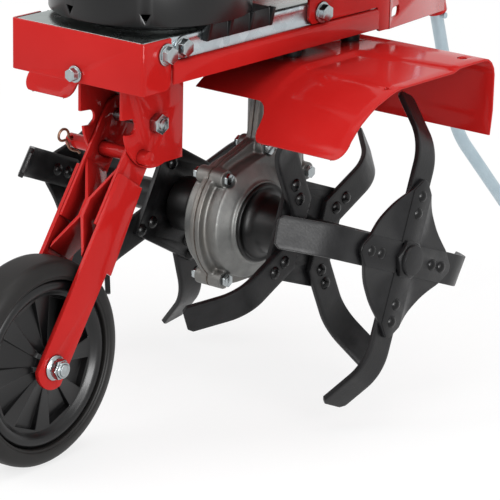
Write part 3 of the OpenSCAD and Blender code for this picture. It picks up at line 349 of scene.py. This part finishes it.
wire_r, cross_hole, clip_tilt = 1.1, (-43, -345.58, 236.11), 62
clip = wire("lock_clip_finished", [
    (0, -12, 0), (0, -6, 0), (0, 4, 0), (0, 8, 0), (0.8, 10.5, 0.8), (1, 13, 4.2), (1, 17, 5.2), (1, 21, 3.8),
    (0.6, 22.6, 0), (0, 21, -3.8), (-0.6, 17, -5.2), (-1, 13, -4.2), (-1, 10, -2), (-1, 8, -3.2),
    (-0.6, 5, -6.6), (0, 1, -8), (0, -4, -7.2), (0, -7.5, -6.4), (0, -10, -7.6)],
    wire_r, cross_hole, clip_tilt)
settle(clip, "lock_clip", spring_wire)

# Fork: two 4 mm steel strips welded on inner plates, with a brace of two bent plates welded back to
# back between them, red coated as one.
for node in ("fork_arm_left", "fork_arm_right", "fork_brace"):
    dress(node, red_powder)

# Rim: a moulding with hub, dished web and a convex ring in one body; eight wedge pockets are let into
# each side, shallow at the hub and deep at the ring.
# Moulded polypropylene: black, with a soft sheen that changes over 33 mm. The mould grain is finer in
# fact and drawn at 0.7 mm, so that it shows.
moulded_black, tree, bsdf, where = shader("moulded_black_plastic")
grain = add(tree, "TexNoise", Vector=where, Scale=1400, Detail=2.0)
cloud = add(tree, "TexNoise", Vector=where, Scale=30, Detail=3.0)
tone = add(tree, "ValToRGB", {"stops": {0: "#080809", 1: "#0E0E0F"}}, Fac=cloud.outputs["Fac"])
dull = add(tree, "MapRange", Value=cloud.outputs["Fac"], To_Min=0.24, To_Max=0.36)
relief = add(tree, "Bump", Strength=0.06, Distance=0.0001, Height=grain.outputs["Fac"])
plug(bsdf, Base_Color=tone.outputs["Color"], Roughness=dull.outputs[0], Normal=relief.outputs[0],
     Specular_IOR_Level=0.36)


# The outline gives places along the axis and radii, in mm.
def turned(name, outline, steps=64, split=40):
    blank = bpy.data.meshes.new(name)
    blank.from_pydata([(x / 1000, 0, r / 1000) for x, r in outline],
                      [(i, i + 1) for i in range(len(outline) - 1)], [])
    piece = bring(name, blank)
    bpy.ops.object.mode_set(mode="EDIT")
    bpy.ops.mesh.select_all(action="SELECT")
    bpy.ops.mesh.spin(steps=steps, angle=math.tau, center=(0, 0, 0), axis=(1, 0, 0))
    bpy.ops.mesh.select_all(action="SELECT")
    bpy.ops.mesh.remove_doubles(threshold=2e-6)
    bpy.ops.mesh.normals_make_consistent(inside=False)
    bpy.ops.object.mode_set(mode="OBJECT")
    bpy.ops.object.shade_smooth_by_angle(angle=math.radians(split))
    return piece


hub = (5, -448.32, 85.02)
bore, face = 5.3, 19.7
half = [(bore, face), (12, face), (13.4, 18.6), (15, 15.4), (17.5, 13.9), (54, 11.1), (56, 11.3), (57.6, 12.4),
        (59, 14.2), (61, 15.8), (63.2, 16.3), (65.4, 15.9), (67.2, 14.8), (68.4, 13.4), (69, 12.6)]
rim = turned("wheel_rim_finished", [(-x, r) for r, x in half] + [(x, r) for r, x in reversed(half)]
             + [(-face, bore)], 96, 28)
pockets, beyond = 8, 30
for side in (1, -1):
    for k in range(pockets):
        corners = []
        for r, bottom in ((13, 14.4), (54.5, 5.5)):
            for lean in (9, 36):
                a = math.radians(360 / pockets * k + lean)
                y, z = r * math.cos(a) / 1000, r * math.sin(a) / 1000
                corners += [(side * bottom / 1000, y, z), (side * beyond / 1000, y, z)]
        wedge = bpy.data.meshes.new("pocket")
        wedge.from_pydata(corners, [], [(0, 4, 6, 2), (1, 3, 7, 5), (0, 1, 5, 4), (2, 6, 7, 3),
                                        (0, 2, 3, 1), (4, 5, 7, 6)])
        pocket = bring("pocket", wedge)
        bpy.ops.object.mode_set(mode="EDIT")
        bpy.ops.mesh.select_all(action="SELECT")
        bpy.ops.mesh.normals_make_consistent(inside=False)
        bpy.ops.object.mode_set(mode="OBJECT")
        carve(rim, pocket)
soften(rim, 0.5, 30)
settle(place(rim, *hub), "wheel_rim", moulded_black)

# Tyre: solid rubber pressed on the rim, with fine circumferential grooves, round shoulders and a
# bulging side wall.
# Solid tyre rubber: matt black with a brownish bloom of dust in patches of 11 mm.
tyre_rubber, tree, bsdf, where = shader("tyre_rubber")
dust = add(tree, "TexNoise", Vector=where, Scale=90, Detail=6.0)
tone = add(tree, "ValToRGB", {"stops": {0: "#0D0C0C", 1: "#1A1816"}}, Fac=dust.outputs["Fac"])
plug(bsdf, Base_Color=tone.outputs["Color"], Roughness=0.5, Specular_IOR_Level=0.28)

tyre_r, crown, groove, seat_r = 85, 0.004, 0.35, 69.06
tread = [(x, tyre_r - crown * x * x - (groove if x % 2 else 0)) for x in range(-11, 12)]
wall = [(12.6, 84.1), (14.3, 83.1), (15.8, 81.6), (17, 79.4), (17.9, 76.6), (18.4, 74), (18.4, 72.6),
        (17.8, 71.6), (17.2, 71.2), (17.4, 70.4), (16.8, 69.4), (16, seat_r), (12, seat_r)]
tyre = turned("wheel_tyre_finished", [(-x, r) for x, r in reversed(wall)] + tread + wall + [(-12, seat_r)],
              128, 50)
settle(place(tyre, *hub), "wheel_tyre", tyre_rubber)


# Axle: an M10 bolt through both fork strips and the rim, with a flange washer and a locking nut on
# the right, zinc plated. Head and nut are chamfered hexagons.
def hexagon(name, flats, low, high):
    bpy.ops.object.select_all(action="DESELECT")
    bpy.ops.mesh.primitive_cylinder_add(
        vertices=6, radius=flats / 1000 / math.sqrt(3), depth=(high - low) / 1000,
        location=((low + high) / 2000, 0, 0), rotation=(0, math.pi / 2, 0))
    piece = bpy.context.object
    piece.name = name
    bpy.ops.object.transform_apply()
    tip, edge, corner, chamfer = flats * 0.46, flats * 0.485, flats * 0.6, flats * 0.07
    carve(piece, turned("blank", [(low - 1, 0), (low - 1, tip), (low, edge), (low + chamfer, corner),
                                  (high - chamfer, corner), (high, edge), (high + 1, tip), (high + 1, 0)]),
          "INTERSECT")
    return piece


nut_flats = 15
axle = turned("wheel_axle_finished", [
    (-24, 0), (-24, 5), (24.2, 5), (24.2, 10.2), (24.8, 10.5), (25.4, 10.4), (26.2, 9.6), (27, 8), (33.6, 6.9),
    (34.4, 6.6), (34.7, 5.6), (34.2, 5.1), (35.4, 4.9), (35.9, 4.2), (36, 0)], 48)
weld_up(axle, hexagon("head", nut_flats, -30.5, -24), hexagon("nut", nut_flats, 26.4, 32.6))
soften(axle, 0.2)
settle(place(axle, *hub), "wheel_axle", bright_zinc)

# Gear case: two die-cast halves with a split flange, bolted together through lugs on a gasket. They
# hold the worm pair and the tine shaft.
# Die-cast aluminium: dull grey with a 1 mm skin, darker patches of 22 mm and brown dirt by the joint.
cast_alloy, tree, bsdf, where = shader("die_cast_aluminium")
skin = add(tree, "TexNoise", Vector=where, Scale=900, Detail=4.0)
cloud = add(tree, "TexNoise", Vector=where, Scale=45, Detail=4.0)
tone = add(tree, "ValToRGB", {"stops": {0.3: "#646564", 0.7: "#878886"}}, Fac=cloud.outputs["Fac"])
dull = add(tree, "MapRange", Value=skin.outputs["Fac"], To_Min=0.42, To_Max=0.6)
relief = add(tree, "Bump", Strength=0.3, Distance=0.0003, Height=skin.outputs["Fac"])
across = add(tree, "Math", {"operation": "ABSOLUTE"}, i0=add(tree, "SeparateXYZ", Vector=where).outputs["X"])
by_joint = add(tree, "MapRange", Value=across.outputs[0], From_Min=0.003, From_Max=0.02, To_Min=1.0,
               To_Max=0.12)
patchy = add(tree, "MapRange", Value=cloud.outputs["Fac"], From_Min=0.35, From_Max=0.62, To_Min=0.0,
             To_Max=0.3)
grime = add(tree, "Math", {"operation": "MULTIPLY"}, i0=by_joint.outputs[0], i1=patchy.outputs[0])
stained = add(tree, "Mix", {"data_type": "RGBA"}, i0=grime.outputs[0], i6=tone.outputs["Color"],
              i7=linear("#6A5A4C"))
plug(bsdf, Base_Color=stained.outputs[2], Roughness=dull.outputs[0], Normal=relief.outputs[0], Metallic=0.85)


# A casting has no sharp edge: the copy is cut into small voxels and then smoothed.
def cast(node, voxel, passes):
    piece = rough_copy(node)
    piece.data.remesh_voxel_size = voxel / 1000
    bpy.ops.object.voxel_remesh()
    work(piece, "SMOOTH", factor=0.5, iterations=passes)
    bpy.ops.object.shade_smooth()
    return piece


for node in ("gear_case_left", "gear_case_right"):
    settle(cast(node, voxel=1.3, passes=7), node, cast_alloy)

# Gasket and case bolts: a sheet of fibre paper between the halves, and zinc-plated bolts with nuts
# through the lugs.
# Fibre paper: grey-brown, stained with gear oil, with fibres of 2 mm.
fibre_paper, tree, bsdf, where = shader("fibre_paper")
fibre = add(tree, "TexNoise", Vector=where, Scale=500, Detail=4.0)
tone = add(tree, "ValToRGB", {"stops": {0: "#40362F", 1: "#6B6055"}}, Fac=fibre.outputs["Fac"])
plug(bsdf, Base_Color=tone.outputs["Color"], Roughness=0.8)

dress("case_gasket", fibre_paper, 0.1)
dress("case_bolts", bright_zinc, 0.7)

# Dust seals: a moulded rubber lip on each seal housing, drawn out to a smooth neck that covers the
# tine hub.
# Black nitrile rubber of seals, grips and belt: a dull sheen with a bloom of 8 mm.
black_rubber, tree, bsdf, where = shader("black_rubber")
bloom = add(tree, "TexNoise", Vector=where, Scale=120, Detail=4.0)
tone = add(tree, "ValToRGB", {"stops": {0: "#090909", 1: "#0E0E0E"}}, Fac=bloom.outputs["Fac"])
plug(bsdf, Base_Color=tone.outputs["Color"], Roughness=0.38, Specular_IOR_Level=0.32)


def seal(name, end):
    root, shaft_r, lip_r, neck_r, bore_r = 27.02, 11.4, 34.5, 24, 20.5
    return turned(name, [
        (root, shaft_r), (root, 34), (27.5, lip_r), (28.6, lip_r), (29.6, 34), (30, 33), (30, 32), (29.5, 31.2),
        (29.5, 30.2), (30, 29), (31.2, 27.2), (32.8, 25.7), (35.2, 24.5), (38.5, 24.05), (40, neck_r),
        (end - 1.6, neck_r), (end - 0.5, 23.6), (end, 22.6), (end, 20.9), (end - 0.4, bore_r), (34, bore_r),
        (34, shaft_r), (root, shaft_r)], 64, 50)


# Place of the tine shaft, in front of the origin and above it.
shaft_y, shaft_z = -186.72, 145.92
seals = weld_up(seal("shaft_seals_finished", 68), place(seal("left_seal", 60), 0, 0, 0, (0, 0, 180)))
settle(place(seals, 0, shaft_y, shaft_z), "shaft_seals", black_rubber)

# Gears inside the case: plain bearing rings and a worm of ground steel, and a bronze worm wheel keyed
# to the tine shaft.
# Ground steel: grey; the turning marks are finer in fact and drawn at 1.4 mm, so that they show.
ground_steel, tree, bsdf, where = shader("ground_steel")
mark = add(tree, "TexNoise", Vector=where, Scale=700, Detail=3.0)
tone = add(tree, "ValToRGB", {"stops": {0: "#8E9194", 1: "#B2B5B8"}}, Fac=mark.outputs["Fac"])
dull = add(tree, "MapRange", Value=mark.outputs["Fac"], To_Min=0.22, To_Max=0.38)
plug(bsdf, Base_Color=tone.outputs["Color"], Roughness=dull.outputs[0], Metallic=1.0)

# Cast tin bronze of the worm wheel: warm yellow-brown, machined, mottled every 2 mm.
tin_bronze, tree, bsdf, where = shader("tin_bronze")
mark = add(tree, "TexNoise", Vector=where, Scale=500, Detail=3.0)
tone = add(tree, "ValToRGB", {"stops": {0: "#A57B3D", 1: "#C79C57"}}, Fac=mark.outputs["Fac"])
plug(bsdf, Base_Color=tone.outputs["Color"], Metallic=1.0, Roughness=0.32)

dress("bearings", ground_steel, 0.4)
dress("worm_shaft", ground_steel, 0.05)
dress("worm_wheel", tin_bronze, 0.2)

# Rotor: one shaft through the case with two star plates a side, welded on hub tubes; four bent strip
# tines are riveted to each star. All of it is painted black after assembly.
# Black stoving paint on rolled steel: satin, with 14 mm streaks of grey dust and pits of 1.7 mm.
satin_black, tree, bsdf, where = shader("satin_black_paint")
streak = add(tree, "TexNoise", Vector=where, Scale=70, Detail=6.0, Roughness=0.65)
pit = add(tree, "TexNoise", Vector=where, Scale=600, Detail=2.0)
tone = add(tree, "ValToRGB", {"stops": {0.3: "#0F0F10", 0.75: "#1B1B1D"}}, Fac=streak.outputs["Fac"])
dull = add(tree, "MapRange", Value=streak.outputs["Fac"], From_Min=0.3, From_Max=0.7, To_Min=0.28, To_Max=0.5)
relief = add(tree, "Bump", Strength=0.35, Distance=0.0003, Height=pit.outputs["Fac"])
plug(bsdf, Base_Color=tone.outputs["Color"], Roughness=dull.outputs[0], Normal=relief.outputs[0],
     Specular_IOR_Level=0.25)

# The shaft runs a little under size in its bearings, and each end has a turned head.
running_fit = 0.995
shaft = rough_copy("tine_shaft")
for v in shaft.data.vertices:
    v.co.y = shaft_y / 1000 + (v.co.y - shaft_y / 1000) * running_fit
    v.co.z = shaft_z / 1000 + (v.co.z - shaft_z / 1000) * running_fit
soften(shaft, 0.5)
for name, reach, turn in (("right_end", 187, 0), ("left_end", 179, 180)):
    end = turned(name, [(reach - 4, 0), (reach - 4, 12.6), (reach - 3.4, 13.2), (reach - 1.2, 13.2),
                        (reach - 0.1, 12.5), (reach + 0.15, 11.6), (reach + 0.15, 0)], 48)
    weld_up(shaft, place(end, 0, shaft_y, shaft_z, (0, 0, turn)))
settle(shaft, "tine_shaft", satin_black)
dress("rotor_hubs", satin_black, 0.5)
dress("inner_stars", satin_black, 0.5)


# Outer stars: square plates of 3.5 mm steel on their corners. The arms stay flat and stand a little
# proud of the sides, which are pressed back between them; a hex collar is welded on the middle.
def star(name, x, phase, way):
    side, sheet, press, arm_half, slope, diagonal = 0.099, 0.0035, 0.0046, 0.0131, 0.0183, 0.7071
    bpy.ops.object.select_all(action="DESELECT")
    bpy.ops.mesh.primitive_grid_add(x_subdivisions=52, y_subdivisions=52, size=side)
    plate = bpy.context.object
    plate.name = name
    bpy.ops.object.mode_set(mode="EDIT")
    for corner in range(4):
        for lean, reach in ((22.5, 62.2), (45, 66.7), (67.5, 62.2)):
            a = math.radians(90 * corner + lean)
            out = Vector((math.cos(a), math.sin(a), 0))
            bpy.ops.mesh.select_all(action="SELECT")
            bpy.ops.mesh.bisect(plane_co=out * reach / 1000, plane_no=out, clear_outer=True)
    bpy.ops.object.mode_set(mode="OBJECT")
    for v in plate.data.vertices:
        y, z = (v.co.x - v.co.y) * diagonal, (v.co.x + v.co.y) * diagonal
        near = (max(abs(y), 0.001) ** -6 + max(abs(z), 0.001) ** -6) ** (-1 / 6)
        back = press * math.sin(math.pi / 2 * min(max((near - arm_half) / slope, 0), 1))
        v.co = (-way * (back + sheet / 2), y, z)
    work(plate, "SOLIDIFY", thickness=sheet, offset=0)
    soften(plate, 0.5, 50)
    arm_size, arm_point = (0.0016, 0.0262, 0.132), 0.0488
    for turn in (0, 90):
        bpy.ops.object.select_all(action="DESELECT")
        bpy.ops.mesh.primitive_cube_add(size=1, scale=arm_size)
        arm = bpy.context.object
        bpy.ops.object.transform_apply()
        bpy.ops.object.mode_set(mode="EDIT")
        for out in (Vector((0, a, b)).normalized() for a in (-1, 1) for b in (-1, 1)):
            bpy.ops.mesh.select_all(action="SELECT")
            bpy.ops.mesh.bisect(plane_co=out * arm_point, plane_no=out, clear_outer=True, use_fill=True)
        bpy.ops.object.mode_set(mode="OBJECT")
        soften(arm, 0.6)
        weld_up(plate, place(arm, 0, 0, 0, (turn, 0, 0)))
    collar_flats = 30
    collar = hexagon("collar", collar_flats, -1, 5)
    soften(collar, 0.5)
    weld_up(plate, place(collar, 0, 0, 0, (0, 0, 0 if way > 0 else 180)))
    place(plate, x, 0, 0)
    return place(plate, 0, shaft_y, shaft_z, (-phase, 0, 0))


stars = star("outer_stars_finished", 179, 20.5, 1)
weld_up(stars, star("left_star", -171, 22, -1))
settle(stars, "outer_stars", satin_black)


# Tines: 27 by 4.5 mm strips with a pointed root, bent 43 degrees on a slanting line, with cut corners
# at the tip. The outer ones all bend inwards, the inner ones inwards and outwards by turns.
def tine(name, slant, way):
    width, thick, root, tip = 0.027, 0.0045, 0.016, 0.143
    bend_at, bend_r, bend = 0.076, 0.045, math.radians(43)
    bpy.ops.object.select_all(action="DESELECT")
    bpy.ops.mesh.primitive_grid_add(x_subdivisions=8, y_subdivisions=70, size=1,
                                    location=(0, (root + tip) / 2, 0))
    strip = bpy.context.object
    strip.name = name
    strip.scale = (width, tip - root, 1)
    bpy.ops.object.transform_apply()
    bpy.ops.object.mode_set(mode="EDIT")
    for x, y, a, b in ((0, root, 1, -1), (0, root, -1, -1),
                       (width / 2, tip - 0.004, 1, 1), (-width / 2, tip - 0.004, -1, 1)):
        bpy.ops.mesh.select_all(action="SELECT")
        bpy.ops.mesh.bisect(plane_co=(x, y, 0), plane_no=(a, b, 0), clear_outer=True)
    bpy.ops.object.mode_set(mode="OBJECT")
    c, s = math.cos(math.radians(slant)), math.sin(math.radians(slant))
    for v in strip.data.vertices:
        along, past = v.co.x * c + (v.co.y - bend_at) * s, (v.co.y - bend_at) * c - v.co.x * s
        turn = min(max(past / bend_r, 0), bend)
        rest = past - bend_r * turn
        out = bend_r * math.sin(turn) + rest * math.cos(turn)
        back = bend_r * (1 - math.cos(turn)) + rest * math.sin(turn)
        v.co = (-way * back, along * c - out * s, bend_at + along * s + out * c)
    work(strip, "SOLIDIFY", thickness=thick, offset=0)
    soften(strip, 0.7)
    return strip


# Each row is one star's four tines: its place on the shaft, phase, slant, and the ways they bend by turns.
def tines(node, rows):
    rotor = []
    for x, phase, slant, ways in rows:
        for way in sorted(set(ways)):
            blank = tine(node + "_finished", slant, way)
            for k in (k for k in range(4) if ways[k % 2] == way):
                piece = place(bring(node + "_finished", blank.data.copy()), x, 0, 0)
                rotor.append(place(piece, 0, shaft_y, shaft_z, (-phase - 90 * k, 0, 0)))
            bpy.data.objects.remove(blank)
    settle(weld_up(*rotor), node, satin_black)


tines("inner_tines", ((77.75, -25, 8, (-1, 1)), (-69.75, -16, -12, (1, -1))))
tines("outer_tines", ((173.25, 20.5, -12, (1, 1)), (-165.25, 22, -12, (-1, -1))))

# Rivets and hub pins: round steel heads that took the paint smoothly, two to a tine, and the zinc-plated
# clevis pins that lock the hubs to the shaft.
# Black gloss where the paint flowed out over a rounded head, uneven every 4 mm.
gloss_black, tree, bsdf, where = shader("gloss_black_paint")
patch = add(tree, "TexNoise", Vector=where, Scale=260, Detail=3.0)
tone = add(tree, "ValToRGB", {"stops": {0: "#0C0C0D", 1: "#161617"}}, Fac=patch.outputs["Fac"])
dull = add(tree, "MapRange", Value=patch.outputs["Fac"], To_Min=0.2, To_Max=0.32)
plug(bsdf, Base_Color=tone.outputs["Color"], Roughness=dull.outputs[0], Specular_IOR_Level=0.2)

dress("tine_rivets", gloss_black, 0.1, 60)
dress("rotor_pins", bright_zinc, 0.4)

# Fenders: 2 mm steel sheet rolled down in front and behind, red coated, bolted under the frame.
# The top panel is pressed in about 2.5 mm, open to the outer edge, with sloped steps beside the
# inner strip and in front of the rear bend.
raised = [(-95, 102), (-89.5, 110), (-84, 117), (-77, 124.2), (-70, 130), (-60, 136), (-50, 141.2), (-40, 145.2),
          (-31, 148.6), (-24, 150.3), (-17, 151), (-8, 151), (10, 151), (30, 151), (48, 151), (51, 151), (55, 151),
          (59, 151), (62, 151), (85, 151), (101, 151), (106, 149.8), (111, 146.3), (114.6, 141), (116, 135),
          (116, 120), (115.9, 104), (115.2, 98), (113, 83)]
pressed = [148.4 if -17 <= y <= 51 else z for y, z in raised]
pressed[3:10] = [123.5, 129, 134.9, 140, 143.2, 146, 147.6]
pressed[15:18] = [148.5, 149.7, 150.8]
rear_step, step_slant, step_middle = range(14, 19), 0.11, 136
fender_out = 180


def fender(name, side, tongue_in, tongue_out):
    across = [10, 30, 50, 70, 80, 82, 83, 85, 89, 91, 92, 94, 100, 120, 140, 160, 170, fender_out]
    panel_in, step_width = 82, 10
    points, faces = [], []
    for x in across:
        share = min(1, max(0, (x - panel_in) / step_width))
        share = share * share * (3 - 2 * share)
        for k, (y, z) in enumerate(raised):
            skew = (x - step_middle) * step_slant if k in rear_step else 0
            points.append((side * x / 1000, (y + skew) / 1000, (z + share * (pressed[k] - z)) / 1000))
    rows = len(raised)
    for a in range(len(across) - 1):
        for n in range(a * rows, a * rows + rows - 1):
            faces.append((n, n + rows, n + rows + 1, n + 1)[::side])
    sheet = bpy.data.meshes.new(name)
    sheet.from_pydata(points, [], faces)
    piece = bring(name, sheet)
    work(piece, "SOLIDIFY", thickness=0.002, offset=-1)

    def notch(x0, x1, low, high):
        near, far = sorted((side * x0, side * x1))
        return block((near, *low), (far, *high))

    def rod(r, x, y, z, length, sides, turn=0):
        bpy.ops.object.select_all(action="DESELECT")
        bpy.ops.mesh.primitive_cylinder_add(
            vertices=sides, radius=r / 1000, depth=length / 1000,
            location=(side * x / 1000, y / 1000, z / 1000), rotation=(turn, 0, 0))
        bpy.ops.object.transform_apply()
        return bpy.context.object

    def lying_rod(r, x, z):
        return rod(r, x, -90, z, 200, 64, math.pi / 2)

    # The front is cut away beside the tongue, with a round hollow where the tongue leaves the sheet.
    hollow, tip_in, tip_out = 14, 9, 12
    carve(piece, notch(0, tongue_in - hollow, (-120, 60), (-60, 129)))
    carve(piece, notch(tongue_in - hollow - 0.01, tongue_in, (-121, 60), (-59, 115)))
    bite = notch(tongue_in - hollow - 0.01, tongue_in, (-122, 114.9), (-60.1, 129))
    carve(bite, lying_rod(hollow, tongue_in - hollow, 115), "INTERSECT")
    carve(piece, bite)
    # The tongue's lower corners are round.
    corner = notch(tongue_in - 1, tongue_in + tip_in, (-120, 60), (-78, 110))
    carve(corner, lying_rod(tip_in, tongue_in + tip_in, 110))
    carve(piece, corner)
    if tongue_out < fender_out:
        carve(piece, notch(tongue_out, 200, (-120, 60), (-78, 122)))
    corner = notch(tongue_out - tip_out, 200, (-120, 60), (-78, 113))
    carve(corner, lying_rod(tip_out, tongue_out - tip_out, 113))
    carve(piece, corner)
    # The inner edge clears the gear case, and four holes take bolts and add-ons.
    carve(piece, notch(0, 30, (-45, 60), (130, 160)))
    carve(piece, notch(0, 57, (90, 60), (130, 140)))
    for r, x, y in ((3.1, 55, 0), (3.1, 55, 80), (4, 164, 89.6), (2, 170.7, -26)):
        carve(piece, rod(r, x, y, 150, 30, 32))
    soften(piece, 0.5)
    return place(piece, 0, shaft_y, shaft_z)


settle(fender("fender_right_finished", 1, 90, fender_out), "fender_right", red_powder)
settle(fender("fender_left_finished", -1, 107, 163), "fender_left", red_powder)
# The spacers and bolts under the fenders take the black paint so that they read as the dark shade in the gap under
# the rail: painted shade.
dress("fender_bolts", satin_black, 0.4)

# Rear bracket and stake holder: two red side plates outside the tray, bent inwards until they meet,
# and a leaning tube welded between them.
dress("rear_bracket", red_powder)
dress("stake_holder", red_powder)

# Depth stake: a 12 mm steel bar that slides in the holder, bent back towards its foot, with a stop
# pin under the holder.
# Electroplated zinc with a blue passivation: pale, drawn smooth along the bar, with tones of 18 mm.
blue_zinc, tree, bsdf, where = shader("blue_passivated_zinc")
drawn = add(tree, "TexNoise", Vector=where, Scale=55, Detail=4.0)
tone = add(tree, "ValToRGB", {"stops": {0: "#A3B6C0", 1: "#BACBD3"}}, Fac=drawn.outputs["Fac"])
dull = add(tree, "MapRange", Value=drawn.outputs["Fac"], To_Min=0.3, To_Max=0.42)
plug(bsdf, Base_Color=tone.outputs["Color"], Roughness=dull.outputs[0], Metallic=0.55)

dress("depth_stake", blue_zinc, 0.1)

# Belt drive in the tray: two turned steel V pulleys, a rubber belt, and a plastic idler on a plated
# arm that turns on a post in the frame.
dress("drive_pulley", ground_steel, 0.3)
dress("driven_pulley", ground_steel, 0.3)
dress("drive_belt", black_rubber, 0.1)
dress("idler_arm", bright_zinc, 0.3)
dress("idler_pulley", moulded_black, 0.4)

# Engine: a black cast base with ribbed skirts on the tray, a round plastic shroud, an aluminium
# crankcase with finned barrel and head, the crankshaft with its flywheel, and a blower housing with
# recoil starter, tank, muffler and air filter.
dress("engine_base", satin_black, 0.8)
dress("engine_shroud", moulded_black, 0.8)
dress("crankcase", cast_alloy)
dress("cylinder_head", cast_alloy)
dress("crankshaft", ground_steel, 0.4)
dress("blower_housing", moulded_black, 1.0)
dress("starter_grip", moulded_black)
dress("fuel_tank", moulded_black, 2.0)
dress("fuel_cap", moulded_black, 0.8)
dress("muffler", ground_steel, 1.0)
dress("air_filter", moulded_black, 1.5)

# Handlebar: two black painted tubes a side, bolted to the rear bracket and clamped by star knobs so
# that the top folds, with rubber grips, a drive lever on the left and a throttle lever on the right.
dress("handle_lower", satin_black, 0.5)
dress("handle_upper", satin_black, 0.5)
dress("handle_bolts", bright_zinc, 0.5)
dress("handle_knobs", moulded_black, 1.0)
dress("handle_grips", black_rubber, 0.8)
dress("drive_lever", bright_zinc, 0.4)
dress("throttle_lever", moulded_black, 0.5)

bpy.context.scene.view_settings.view_transform = "Standard"
